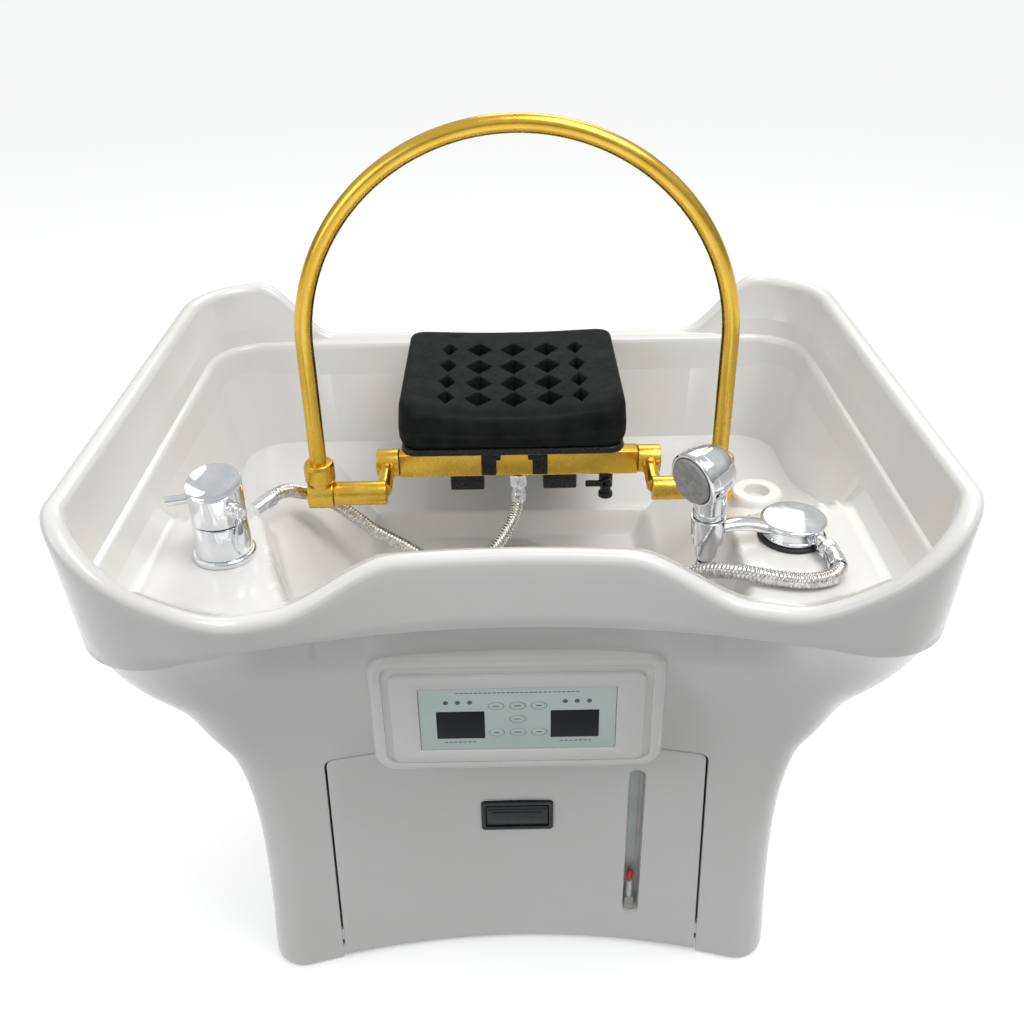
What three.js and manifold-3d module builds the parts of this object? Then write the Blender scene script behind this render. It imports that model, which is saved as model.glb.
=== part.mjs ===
// Shampoo backwash unit: a moulded basin on a pedestal, with a water arch, a headrest, deck fittings,
// a control panel and a cabinet with a water tank. Millimetres, +Z up, origin on the floor under the
// middle of the rim. +X is to the operator's right and +Y towards the client's neck.
import * as THREE from 'three';
import { mergeVertices } from 'three/addons/utils/BufferGeometryUtils.js';
import Module from 'manifold-3d';

const wasm = await Module();
wasm.setup();

// ---------------------------------------------------------------- driving dimensions
const GAP = 0.3;            // clearance between pieces that touch
const WALL = 5;             // thickness of the mouldings

const RIM = { halfWidth: 375, back: 288.3, front: -230, bow: 840, frontCorner: 56, backCorner: 85 };
const BAND = { halfWidth: 375, back: 288.3, front: -226, bow: 900, frontCorner: 66, backCorner: 85 };
const RIM_TOP = 680;        // height of the side rims
const RIM_LIP = 19;         // width of the rounded lip
const BAND_BOTTOM = 538;    // lower edge of the tub's outer band
const NECK_DIP = 614;       // height of the neck edge at the back
const FRONT_MIDDLE = 616;   // height of the front rim's middle
const FRONT_DIP = 574;      // height of the front rim's two dips
const LEDGE = 610;          // step line inside the tub
const DECK = 572;           // height of the two front decks
const BOWL = 445;           // lowest part of the sloping bowl floor
const SHELF = 487;          // height of the floor along the back wall
const SUMP = 418;           // bottom of the sump
const DRAIN = { x: 0, y: 62, radius: 30 };

const OVERFLOW = { x: 257, y: 4, seat: 541 };

const FLOOR_GAP = 4;        // height of the rubber feet
const DOOR = { halfTop: 200, halfBottom: 207, bottom: 6, top: 313, gap: 2.2 };
const DOOR_AXIS = { y: -140, z: 18 };
const SLOT = { x: 129, bottom: 54, top: 280, width: 18 };
const LATCH = { width: 79, height: 42, z: 208.5 };
const PANEL = { x: 2, z: 407, width: 284, height: 144, face: -190 };
const LABEL = { width: 188.6, height: 77, z: 402.5 };

const GOLD_X = 8;           // middle of the bar and arch
const BAR = { half: 128, y: 53.5, z: 554, depth: 20, height: 28 };
const ARM = { knuckle: 15, width: 24, rod: 8, y: -6.5, z: 551 };
const ARCH = { radius: 204, tube: 8.5, springing: 712, foot: 588.3 };

const MIXER = { x: -262, y: -150 };
const DIVERTER = { x: 257, y: -138 };
const CRADLE = { x: 176, y: -152, top: 604, bottom: 578 };
const HOSE = 7;             // radius of both hoses

// ---------------------------------------------------------------- small tools
function smooth(from, to, value) {
  const t = THREE.MathUtils.clamp((value - from) / (to - from), 0, 1);
  return t * t * (3 - 2 * t);
}

const vec = (x, y, z) => new THREE.Vector3(x, y, z);

function closedBody(geometry) {
  geometry.deleteAttribute('normal');
  geometry.deleteAttribute('uv');
  const merged = mergeVertices(geometry, 1e-3);
  const index = merged.index.array;
  const kept = [];
  for (let i = 0; i < index.length; i += 3) {
    const [a, b, c] = [index[i], index[i + 1], index[i + 2]];
    if (a !== b && b !== c && c !== a) kept.push(a, b, c);
  }
  merged.setIndex(kept);
  return merged;
}

function toManifold(geometry) {
  const body = closedBody(geometry);
  const vertProperties = new Float32Array(body.attributes.position.array);
  const triVerts = new Uint32Array(body.index.array);
  return new wasm.Manifold(new wasm.Mesh({ numProp: 3, vertProperties, triVerts }));
}

function fromManifold(manifold) {
  const mesh = manifold.getMesh();
  const geometry = new THREE.BufferGeometry();
  geometry.setAttribute('position', new THREE.BufferAttribute(new Float32Array(mesh.vertProperties), 3));
  geometry.setIndex([...mesh.triVerts]);
  return geometry;
}

const combine = (method, first, others) => fromManifold(
  others.reduce((solid, other) => solid[method](toManifold(other)), toManifold(first)));
const join = (first, ...others) => combine('add', first, others);
const cut = (first, ...others) => combine('subtract', first, others);
const common = (first, ...others) => combine('intersect', first, others);

// A skin through rings of equally many points, closed on itself or capped at both ends.
function loft(rings, wrap) {
  const count = rings[0].length;
  const points = rings.flat();
  const index = [];
  const quad = (a, b, c, d) => index.push(a, b, c, a, c, d);
  const spans = wrap ? rings.length : rings.length - 1;
  for (let r = 0; r < spans; r += 1) {
    const low = r * count;
    const high = ((r + 1) % rings.length) * count;
    for (let i = 0; i < count; i += 1) {
      const next = (i + 1) % count;
      quad(low + i, low + next, high + next, high + i);
    }
  }
  if (!wrap) {
    for (const [ring, turn] of [[0, 1], [rings.length - 1, -1]]) {
      const middle = rings[ring].reduce((sum, p) => sum.add(p), vec(0, 0, 0)).divideScalar(count);
      points.push(middle);
      for (let i = 0; i < count; i += 1) {
        const pair = [ring * count + i, ring * count + ((i + 1) % count)];
        if (turn > 0) pair.reverse();
        index.push(pair[0], pair[1], points.length - 1);
      }
    }
  }
  const geometry = new THREE.BufferGeometry().setFromPoints(points);
  geometry.setIndex(index);
  return facingOut(geometry);
}

function facingOut(geometry) {
  const position = geometry.attributes.position;
  const index = geometry.index.array;
  const corner = (i) => vec().fromBufferAttribute(position, index[i]);
  let volume = 0;
  for (let i = 0; i < index.length; i += 3) volume += corner(i).dot(corner(i + 1).cross(corner(i + 2)));
  if (volume < 0) geometry.setIndex([...index].reverse());
  return geometry;
}

function block(x0, x1, y0, y1, z0, z1) {
  const box = new THREE.BoxGeometry(x1 - x0, y1 - y0, z1 - z0);
  return box.translate((x0 + x1) / 2, (y0 + y1) / 2, (z0 + z1) / 2);
}

// A cylinder between two points.
function rod(from, to, radius, sides = 20) {
  const along = to.clone().sub(from);
  const cylinder = new THREE.CylinderGeometry(radius, radius, along.length(), sides);
  const turn = new THREE.Quaternion().setFromUnitVectors(vec(0, 1, 0), along.normalize());
  return cylinder.applyQuaternion(turn).translate(...from.clone().add(to).divideScalar(2).toArray());
}

// A body of revolution about a vertical axis from [radius, height] pairs.
function turned(profile, x, y, sides = 28) {
  const points = profile.map(([radius, height]) => new THREE.Vector2(radius, height));
  return new THREE.LatheGeometry(points, sides).rotateX(Math.PI / 2).translate(x, y, 0);
}

function tube(points, radius, sides, steps) {
  const ring = new THREE.Shape().absarc(0, 0, radius, 0, 2 * Math.PI);
  const path = points instanceof THREE.Curve ? points : new THREE.CatmullRomCurve3(points);
  const options = { steps, extrudePath: path, bevelEnabled: false, curveSegments: sides / 2 };
  return new THREE.ExtrudeGeometry(ring, options);
}

function roundedOutline(width, height, radius) {
  const [x, y] = [width / 2, height / 2];
  const outline = new THREE.Shape();
  outline.absarc(x - radius, y - radius, radius, 0, Math.PI / 2);
  outline.absarc(radius - x, y - radius, radius, Math.PI / 2, Math.PI);
  outline.absarc(radius - x, radius - y, radius, Math.PI, 1.5 * Math.PI);
  outline.absarc(x - radius, radius - y, radius, 1.5 * Math.PI, 2 * Math.PI);
  outline.closePath();
  return outline;
}

// An upright outline (its X and Y become X and Z) pushed from one Y to another.
function upright(outline, x, z, yFront, yBack, curveSegments = 3) {
  const options = { depth: yBack - yFront, bevelEnabled: false, curveSegments };
  const solid = new THREE.ExtrudeGeometry(outline, options);
  return solid.rotateX(Math.PI / 2).translate(x, yBack, z);
}

// ---------------------------------------------------------------- plan outline of the mouldings
// Straight sides and back, round corners, and a front that bows inwards.
function planOutline({ halfWidth, back, front, bow, frontCorner, backCorner }) {
  const bowCentre = front - bow;
  const cornerX = halfWidth - frontCorner;
  const cornerY = bowCentre + Math.sqrt((bow + frontCorner) ** 2 - cornerX ** 2);
  const reach = Math.asin(cornerX / (bow + frontCorner));
  const half = [];
  const along = (steps, place) => {
    for (let i = 0; i < steps; i += 1) half.push(place(i / steps));
  };
  along(8, (t) => [bow * Math.sin(reach * t), bowCentre + bow * Math.cos(reach * t)]);
  along(4, (t) => {
    const angle = (reach + Math.PI / 2) * (t - 1);
    return [cornerX + frontCorner * Math.cos(angle), cornerY + frontCorner * Math.sin(angle)];
  });
  along(4, (t) => [halfWidth, cornerY + (back - backCorner - cornerY) * t]);
  along(4, (t) => [halfWidth - backCorner * (1 - Math.cos(t * Math.PI / 2)),
    back - backCorner * (1 - Math.sin(t * Math.PI / 2))]);
  along(7, (t) => [(halfWidth - backCorner) * (1 - t ** 1.5), back]);
  const mirrored = half.slice(1).reverse().map(([x, y]) => [-x, y]);
  return [...half, [0, back], ...mirrored];
}

const insetOutline = (plan, inset) => planOutline({
  halfWidth: plan.halfWidth - inset,
  back: plan.back - inset,
  front: plan.front + inset,
  bow: plan.bow + inset,
  frontCorner: Math.max(plan.frontCorner - inset, 14),
  backCorner: Math.max(plan.backCorner - inset, 45),
});

const rimOutline = (inset) => insetOutline(RIM, inset);

// ---------------------------------------------------------------- tub
const RIM_PLAN = rimOutline(0);

// Distance along the rim from the middle of the front.
const RIM_ARC = RIM_PLAN.map((_, i) => {
  const last = Math.min(i, RIM_PLAN.length - i);
  let length = 0;
  for (let k = 0; k < last; k += 1) {
    length += Math.hypot(RIM_PLAN[k + 1][0] - RIM_PLAN[k][0], RIM_PLAN[k + 1][1] - RIM_PLAN[k][1]);
  }
  return length;
});

const RIM_HEIGHT = RIM_PLAN.map(([x, y], i) => {
  if (y > RIM.back - 1) return NECK_DIP + (RIM_TOP - NECK_DIP) * smooth(212, 298, Math.abs(x));
  const dip = (FRONT_MIDDLE - FRONT_DIP) * smooth(95, 205, RIM_ARC[i]);
  return FRONT_MIDDLE - dip + (RIM_TOP - FRONT_DIP) * smooth(228, 408, RIM_ARC[i]);
});

// How far a point lies inside a straight edge through two points, the inside being on its left.
function insideEdge(x, y, [ax, ay], [bx, by]) {
  const length = Math.hypot(bx - ax, by - ay);
  return ((bx - ax) * (y - ay) - (by - ay) * (x - ax)) / length;
}

function deckCover(x, y) {
  const left = Math.min(
    insideEdge(x, y, [-199, -215], [-237, -98]),
    insideEdge(x, y, [-240, -82], [-330, -78]),
  );
  const right = Math.min(
    insideEdge(x, y, [203, -100], [203, -215]),
    insideEdge(x, y, [320, -70], [230, -94]),
  );
  return smooth(-12, 2, Math.max(left, right));
}

// Height of the inside floor: a sump in a sloping bowl, side shelves and the two front decks.
function floorHeight(x, y) {
  const sides = smooth(150, 240, Math.abs(x));
  const shelf = SHELF + 55 * smooth(150, -80, y);
  const backSlope = (SHELF - BOWL) * smooth(115, 235, y);
  const frontSlope = 90 * smooth(-130, -200, y);
  const bowl = BOWL + Math.max(backSlope, frontSlope, (shelf - BOWL) * sides);
  const inSump = smooth(162, 142, Math.abs(x)) * smooth(130, 112, y) * smooth(-140, -120, y);
  const open = bowl - (BOWL - SUMP) * inSump;
  return open + (DECK - open) * deckCover(x, y);
}

function lowerFloorHeight(x, y) {
  let lowest = floorHeight(x, y);
  for (let angle = 0; angle < 2 * Math.PI; angle += Math.PI / 3) {
    lowest = Math.min(lowest, floorHeight(x + WALL * Math.cos(angle), y + WALL * Math.sin(angle)));
  }
  return lowest - 4;
}

const ledgeHeight = (rim) => Math.min(LEDGE, rim - 4);
const WALL_STEPS = [[28, 0], [31, 0.2], [35, 0.5], [40, 0.76], [47, 0.92], [57, 1]];
const FLOOR_STEPS = 7;

function tubRing(inset, height) {
  return rimOutline(inset).map(([x, y], i) => vec(x, y, height(RIM_HEIGHT[i], x, y)));
}

// The lower edge of the outer band, which is a little narrower at the front than the rim.
const bandRing = (inset) => insetOutline(BAND, inset).map(([x, y]) => vec(x, y, BAND_BOTTOM));

function wallHeight(rim, x, y, drop) {
  const floor = floorHeight(x, y);
  return floor + Math.max(ledgeHeight(rim) - 3 - floor, 0) * (1 - drop);
}

function floorRing(share, height) {
  const [edge] = WALL_STEPS.at(-1);
  const outline = rimOutline(edge);
  return outline.map(([x, y]) => {
    const angle = Math.atan2(y - DRAIN.y, x - DRAIN.x);
    const px = THREE.MathUtils.lerp(x, DRAIN.x + DRAIN.radius * Math.cos(angle), share);
    const py = THREE.MathUtils.lerp(y, DRAIN.y + DRAIN.radius * Math.sin(angle), share);
    return vec(px, py, height(px, py));
  });
}

function basinTub() {
  const lip = RIM_LIP / 2;
  const above = (height) => (rim, x, y) => Math.max(height(rim), floorHeight(x, y));
  const top = [
    bandRing(0),
    tubRing(0, (rim) => rim - lip),
    tubRing(lip * 0.3, (rim) => rim - lip * 0.3),
    tubRing(lip, (rim) => rim),
    tubRing(lip * 1.7, (rim) => rim - lip * 0.3),
    tubRing(RIM_LIP, above((rim) => rim - lip)),
    tubRing(RIM_LIP + 1.5, above(ledgeHeight)),
  ];
  const wall = WALL_STEPS.map(([inset, drop]) => tubRing(inset, (rim, x, y) => wallHeight(rim, x, y, drop)));
  const floor = [];
  const under = [];
  for (let k = 1; k <= FLOOR_STEPS; k += 1) {
    floor.push(floorRing(k / FLOOR_STEPS, floorHeight));
    under.unshift(floorRing(k / FLOOR_STEPS, lowerFloorHeight));
  }
  const outside = WALL_STEPS.toReversed().map(([inset, drop]) => tubRing(inset - WALL, (rim, x, y) => (
    Math.min(wallHeight(rim, x, y, drop), floorHeight(x, y) + 200 * (1 - drop)) - 4)));
  const cavityTop = (rim) => Math.max(rim - 15, ledgeHeight(rim) - 5);
  const skirt = [
    tubRing(RIM_LIP + 1.5 - WALL, (rim) => ledgeHeight(rim) - 6.5),
    tubRing(RIM_LIP - WALL, cavityTop),
    tubRing(WALL, cavityTop),
    bandRing(WALL),
  ];
  const moulding = loft([...top, ...wall, ...floor, ...under, ...outside, ...skirt], true);
  const { x, y, seat } = OVERFLOW;
  const boss = rod(vec(x, y, seat - 24), vec(x, y, seat), 27, 24);
  const clearing = rod(vec(x, y, seat), vec(x, y, seat + 40), 28, 24);
  return cut(join(moulding, boss), clearing, rod(vec(x, y, seat - 60), vec(x, y, seat + 40), 11, 16));
}

// ---------------------------------------------------------------- pedestal, door and base
// Half width of the pedestal by height, from the skirting to the lip inside the tub's band.
const PEDESTAL_SIDE = new THREE.SplineCurve([
  [288, 12], [283.5, 90], [281, 190], [285, 262], [297, 316], [318, 356], [337, 405], [364, 450],
  [373, 490], [369.6, 535], [369.5, 546],
].map(([halfWidth, z]) => new THREE.Vector2(halfWidth, z)));
const WAIST = 281;
const SHOULDER = 369.5;
const COVE_START = 300;      // height where the front starts to curve out to the band

function pedestalRing(halfWidth, z, inset) {
  const flare = (halfWidth - WAIST) / (SHOULDER - WAIST);
  const cove = Math.min(Math.max(z - COVE_START, 0) / (BAND_BOTTOM - COVE_START), 1);
  const outline = planOutline({
    halfWidth: halfWidth - inset,
    back: 225 + 56.8 * flare - inset,
    front: -125.5 - 95 * cove ** 2 + inset,
    bow: BAND.bow + WALL + inset,
    frontCorner: 32 + 28 * flare - inset,
    backCorner: 60 + 20 * flare - inset,
  });
  return outline.map(([x, y]) => vec(x, y, z));
}

function pedestalSkin() {
  const sections = PEDESTAL_SIDE.getPoints(13);
  const outer = sections.map(({ x, y }) => pedestalRing(x, y, 0));
  const inner = sections.map(({ x, y }) => pedestalRing(x, y, WALL)).reverse();
  outer.unshift(pedestalRing(284, FLOOR_GAP + GAP, 0));
  inner.push(pedestalRing(284, FLOOR_GAP + GAP, WALL));
  return loft([...outer, ...inner], true);
}

function doorOutline(inset) {
  const { halfTop, halfBottom, bottom, top } = DOOR;
  const radius = 10;
  const outline = new THREE.Shape();
  outline.moveTo(-halfBottom + inset, bottom + inset - DOOR.gap);
  outline.lineTo(halfBottom - inset, bottom + inset - DOOR.gap);
  outline.lineTo(halfTop - inset, top - inset - radius);
  outline.quadraticCurveTo(halfTop - inset, top - inset, halfTop - inset - radius, top - inset);
  outline.quadraticCurveTo(0, top - inset + 4, -halfTop + inset + radius, top - inset);
  outline.quadraticCurveTo(-halfTop + inset, top - inset, -halfTop + inset, top - inset - radius);
  outline.closePath();
  return outline;
}

const doorPrism = (inset) => upright(doorOutline(inset), 0, 0, -190, -60);

function pedestalCore() {
  return loft(PEDESTAL_SIDE.getPoints(13).map(({ x, y }) => pedestalRing(x, y, WALL)), false);
}

function panelBoss() {
  const slab = upright(roundedOutline(PANEL.width, PANEL.height, 22), PANEL.x, PANEL.z, PANEL.face, -120);
  const outer = cut(slab, pedestalCore());
  const recess = upright(roundedOutline(244, 108, 8), PANEL.x, LABEL.z, PANEL.face - 1, PANEL.face + 4);
  return cut(outer, recess, panelCavity());
}

function panelCavity() {
  const outline = roundedOutline(PANEL.width - 2 * WALL, PANEL.height - 2 * WALL, 17);
  return upright(outline, PANEL.x, PANEL.z, PANEL.face + 4 + WALL, -100);
}

function mirrored(side, x) {
  return side < 0 ? [-x[1], -x[0]] : x;
}

function pedestalShell() {
  const hollow = cut(pedestalSkin(), doorPrism(0), panelCavity());
  let shell = join(hollow, panelBoss());
  for (const side of [-1, 1]) {
    shell = join(shell, block(...mirrored(side, [209.5, 222]), -149, -130, 6, 34));
    const bore = rod(vec(side * 200, DOOR_AXIS.y, DOOR_AXIS.z), vec(side * 215, DOOR_AXIS.y, DOOR_AXIS.z), 3);
    shell = cut(shell, bore);
  }
  const wasteHole = rod(vec(0, 200, 150), vec(0, 260, 150), 23);
  const inletHole = block(96, 144, 200, 260, 76, 104);
  return cut(shell, wasteHole, inletHole);
}

function frontDoor() {
  let door = common(pedestalSkin(), doorPrism(DOOR.gap));
  for (const side of [-1, 1]) {
    door = join(door, block(...mirrored(side, [190, 204]), -146, -132, 8, 30));
    door = join(door, rod(vec(side * 200, DOOR_AXIS.y, DOOR_AXIS.z),
      vec(side * 213, DOOR_AXIS.y, DOOR_AXIS.z), 2.6, 12));
  }
  const levelSlot = roundedOutline(SLOT.width, SLOT.top - SLOT.bottom, SLOT.width / 2 - 0.01);
  const slot = upright(levelSlot, SLOT.x, (SLOT.top + SLOT.bottom) / 2, -200, -100);
  const pull = block(-LATCH.width / 2 + 2, LATCH.width / 2 - 2, -200, -100,
    LATCH.z - LATCH.height / 2 + 2, LATCH.z + LATCH.height / 2 - 2);
  return cut(door, slot, pull);
}

function basePlate() {
  const ring = pedestalRing(284, 0, WALL + 0.8);
  const outline = new THREE.Shape(ring.map(({ x, y }) => new THREE.Vector2(x, y)));
  const plate = new THREE.ExtrudeGeometry(outline, { depth: 6, bevelEnabled: false });
  return cut(plate.translate(0, 0, FLOOR_GAP + GAP), block(-222.5, 222.5, -300, -112, 0, 40));
}

const foot = (x, y) => turned([[0, 0], [14, 0], [16, 2], [16, FLOOR_GAP], [0, FLOOR_GAP]], x, y, 16);

// ---------------------------------------------------------------- latch
const LATCH_FACE = -127;     // back of the bezel's flange, on the door's skin
const LATCH_AXIS = { y: -125, z: LATCH.z + 12 };

function latchBezel() {
  const { width, height, z } = LATCH;
  const flange = upright(roundedOutline(width, height, 4), 0, z, LATCH_FACE - 2, LATCH_FACE);
  const box = block(-width / 2 + 2.5, width / 2 - 2.5, LATCH_FACE - 1, -106,
    z - height / 2 + 2.5, z + height / 2 - 2.5);
  const pocket = block(-width / 2 + 5, width / 2 - 5, LATCH_FACE - 4, -108,
    z - height / 2 + 5, z + height / 2 - 5);
  return cut(join(flange, box), pocket);
}

function latchPaddle() {
  const half = LATCH.width / 2 - 5.6;
  const plate = block(-half, half, LATCH_FACE - 0.5, LATCH_FACE + 2.5, LATCH.z - 15.4, LATCH.z + 13.2);
  const hinge = rod(vec(-half, LATCH_AXIS.y, LATCH_AXIS.z), vec(half, LATCH_AXIS.y, LATCH_AXIS.z), 1.2, 12);
  const grip = block(-half + 8, half - 8, LATCH_FACE + 2, LATCH_FACE + 8, LATCH.z - 8, LATCH.z - 4);
  return join(plate, hinge, grip);
}

const catchMagnet = () => block(-20, 20, -120.1, -108, 300, 328);

// ---------------------------------------------------------------- tank, level glass and machinery
function waterTank() {
  const outer = block(-150, 150, -94, 40, 10.8, 250);
  const inner = block(-146, 146, -90, 36, 15, 246);
  return cut(outer, inner, rod(vec(-60, -27, 240), vec(-60, -27, 260), 40, 24));
}

const LEVEL_Y = -118.5;

function levelChannel() {
  const [low, high] = [SLOT.bottom - 8, SLOT.top + 8];
  const channel = block(SLOT.x - 14, SLOT.x + 14, -127.4, -94 - GAP, low, high);
  const groove = block(SLOT.x - 10, SLOT.x + 10, -140, -110, low + 6, high - 6);
  const lowerSeat = rod(vec(SLOT.x, LEVEL_Y, low + 3), vec(SLOT.x, LEVEL_Y, 92), 3.4, 12);
  const shelf = block(SLOT.x - 5, SLOT.x + 5, LEVEL_Y - 4, -109, low + 4, 66);
  return join(cut(channel, groove), lowerSeat, shelf);
}

const levelTube = () => turned([
  [4.2, 66 + GAP], [5.6, 66 + GAP], [5.6, SLOT.top + 2 - GAP], [4.2, SLOT.top + 2 - GAP], [4.2, 66 + GAP],
], SLOT.x, LEVEL_Y, 16);

const levelFloat = () => turned([[0, 92.5], [2.6, 94], [3.7, 97], [3.7, 104], [2.6, 107], [0, 108.5]],
  SLOT.x, LEVEL_Y, 14);

function circulationPump() {
  const foundation = block(-150, -60, 110, 190, 10.8, 18);
  const motor = rod(vec(-105, 118, 58), vec(-105, 182, 58), 34, 20);
  const volute = rod(vec(-105, 96, 58), vec(-105, 118.5, 58), 40, 20);
  return join(foundation, block(-125, -85, 120, 180, 17, 50), motor, volute,
    rod(vec(-105, 107, 90), vec(-105, 107, 128), 9, 12));
}

function heaterUnit() {
  const body = rod(vec(60, 120, 70), vec(60, 120, 230), 32, 20);
  return join(body, block(30, 90, 95, 145, 10.8, 72), rod(vec(60, 120, 228), vec(60, 120, 256), 9, 12));
}

const controlBox = () => block(-90, 90, -104, -60, 330, 400);

function drainBody() {
  return turned([
    [22, 330], [25, 330], [25, 396], [46, 402], [46, 413 - GAP - 4.5], [22, 413 - GAP - 4.5], [22, 330],
  ], DRAIN.x, DRAIN.y);
}

const drainStrainer = () => turned([
  [0, SUMP + 1], [28, SUMP + 1], [42, SUMP + 0.6], [44, SUMP + 2],
  [41, SUMP + 4], [28, SUMP + 6], [0, SUMP + 7.5],
], DRAIN.x, DRAIN.y);

function wastePipe() {
  const route = new THREE.CurvePath();
  const [y, top, level, bend] = [DRAIN.y, 330 - GAP, 150, 45];
  const bendStart = vec(0, y, level + bend);
  const bendEnd = vec(0, y + bend, level);
  route.add(new THREE.LineCurve3(vec(0, y, top), bendStart));
  route.add(new THREE.QuadraticBezierCurve3(bendStart, vec(0, y, level), bendEnd));
  route.add(new THREE.LineCurve3(bendEnd, vec(0, 252, level)));
  return cut(tube(route, 20, 12, 12), rod(vec(0, 180, level), vec(0, 260, level), 17, 12));
}

function powerInlet() {
  const flange = block(90, 150, 228.2, 231.2, 70, 110);
  const body = block(97, 143, 200, 229, 77, 103);
  return cut(join(flange, body), block(106, 134, 214, 240, 82, 98));
}

// ---------------------------------------------------------------- control panel
const BEZEL_FACE = PANEL.face - 0.6;
const LABEL_FACE = PANEL.face + 0.6;
const KEY_STEP = { x: 20.5, z: 16.5 };
const KEY_PLACES = [[-1, 1], [0, 1], [1, 1], [0, 0], [-1, -1], [0, -1], [1, -1]]
  .map(([column, row]) => [column * KEY_STEP.x, row * KEY_STEP.z]);
const DISPLAY = { x: 55, z: -7, width: 46.6, height: 34 };

const keyOutline = (grow) => new THREE.Shape().absellipse(0, 0, 8 + grow, 5 + grow, 0, 2 * Math.PI);

function panelBezel() {
  const plate = upright(roundedOutline(243.2, 107.2, 7.6), PANEL.x, LABEL.z, BEZEL_FACE, PANEL.face + 3.7);
  const window = upright(roundedOutline(LABEL.width + 0.8, LABEL.height + 0.8, 2), PANEL.x, LABEL.z,
    BEZEL_FACE - 1, PANEL.face + 2.4);
  return cut(plate, window);
}

function labelPlate() {
  const plate = upright(roundedOutline(LABEL.width, LABEL.height, 1.6), PANEL.x, LABEL.z,
    LABEL_FACE, PANEL.face + 2.1);
  const holes = KEY_PLACES.map(([x, z]) => upright(keyOutline(0.4), PANEL.x + x, LABEL.z + z,
    LABEL_FACE - 1, PANEL.face + 1.4, 6));
  const windows = [-1, 1].map((side) => upright(roundedOutline(DISPLAY.width + 0.8, DISPLAY.height + 0.8, 1),
    PANEL.x + side * DISPLAY.x, LABEL.z + DISPLAY.z, LABEL_FACE - 1, PANEL.face + 1.4));
  return cut(plate, ...holes, ...windows);
}

const display = (side) => upright(roundedOutline(DISPLAY.width, DISPLAY.height, 1),
  PANEL.x + side * DISPLAY.x, LABEL.z + DISPLAY.z, LABEL_FACE - 0.2, PANEL.face + 1.1);

const key = ([x, z]) => upright(keyOutline(0), PANEL.x + x, LABEL.z + z,
  LABEL_FACE - 0.8, LABEL_FACE + 0.1, 6);

// ---------------------------------------------------------------- left mixer
function mixerBase() {
  return turned([[0, DECK + GAP], [28.5, DECK + GAP], [28.5, DECK + 4], [27, DECK + 6], [0, DECK + 6]],
    MIXER.x, MIXER.y);
}

function mixerBody() {
  const low = DECK + 6 + GAP;
  const body = turned([[0, low], [26, low], [26, DECK + 38], [0, DECK + 38]], MIXER.x, MIXER.y);
  const spout = new THREE.SphereGeometry(11, 14, 10).scale(0.9, 0.8, 1.3);
  return join(body, spout.translate(MIXER.x + 22, MIXER.y - 12, DECK + 22));
}

function mixerCap() {
  const low = DECK + 38 + GAP;
  const drum = turned([
    [0, low], [26, low], [25, DECK + 44], [25, DECK + 96], [0, DECK + 96],
  ], MIXER.x, MIXER.y);
  const away = block(-50, 50, -60, 60, 0, 60).rotateX(0.26).translate(MIXER.x, MIXER.y, DECK + 76);
  const dish = new THREE.SphereGeometry(60, 32, 24).translate(0, 0, 51);
  dish.rotateX(0.26).translate(MIXER.x, MIXER.y, DECK + 76);
  const head = cut(drum, away, dish);
  const pin = (dx, dy, reachX, reachY, z, radius) => rod(
    vec(MIXER.x + dx, MIXER.y + dy, DECK + z),
    vec(MIXER.x + reachX, MIXER.y + reachY, DECK + z), radius, 14);
  return join(head, pin(-20, -2, -43, -8, 60, 4.5), pin(14, -14, 28, -24, 56, 5));
}

// ---------------------------------------------------------------- right diverter, cradle and hand shower
const PUCK = { low: DECK + 4.5, high: DECK + 16 };

const diverterSeal = () => turned([[0, DECK + GAP], [31, DECK + GAP], [31, DECK + 3], [29, DECK + 4.2],
  [0, DECK + 4.2]], DIVERTER.x, DIVERTER.y);

function diverterBody() {
  const { low, high } = PUCK;
  const body = turned([[0, low], [28, low], [28, high], [0, high]], DIVERTER.x, DIVERTER.y);
  const start = vec(DIVERTER.x + 14, DIVERTER.y - 18, DECK + 10);
  const end = vec(DIVERTER.x + 21, DIVERTER.y - 34, DECK + 10);
  return join(body, rod(start, end, 5.6));
}

const diverterCap = () => turned([[0, PUCK.high + GAP], [28, PUCK.high + GAP], [30, PUCK.high + 2],
  [29, PUCK.high + 4], [0, PUCK.high + 5.5]], DIVERTER.x, DIVERTER.y);

function diverterElbow() {
  const elbow = new THREE.CatmullRomCurve3([vec(DIVERTER.x + 21.4, DIVERTER.y - 35.2, DECK + 10.5),
    vec(DIVERTER.x + 25, DIVERTER.y - 46, DECK + 10.5), vec(DIVERTER.x + 25, DIVERTER.y - 60, DECK + 10)]);
  return tube(elbow, 8.5, 14, 6);
}

function handsetCradle() {
  const { x, y, top, bottom } = CRADLE;
  const socket = turned([[12, bottom], [14, bottom], [16, top], [13.4, top], [12, bottom]], x, y, 24);
  const armRoute = [
    vec(x + 13.5, y, 590), vec(x + 36, y + 4, 590), vec(DIVERTER.x - 32, DIVERTER.y - 2, 585),
  ];
  const arm = tube(armRoute, 4.5, 10, 8);
  const clamp = rod(vec(DIVERTER.x - 34, DIVERTER.y, 583), vec(DIVERTER.x - 28.6, DIVERTER.y, 583), 4.6, 12);
  return join(socket, arm, clamp);
}

const HEAD = vec(CRADLE.x - 8, CRADLE.y - 2, 648);
const HEAD_WAY = vec(-0.8, -0.58, -0.15).normalize();

function alongHead(geometry, shift) {
  const turn = new THREE.Quaternion().setFromUnitVectors(vec(0, 0, 1), HEAD_WAY);
  return geometry.applyQuaternion(turn).translate(...HEAD.clone().addScaledVector(HEAD_WAY, shift).toArray());
}

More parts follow.
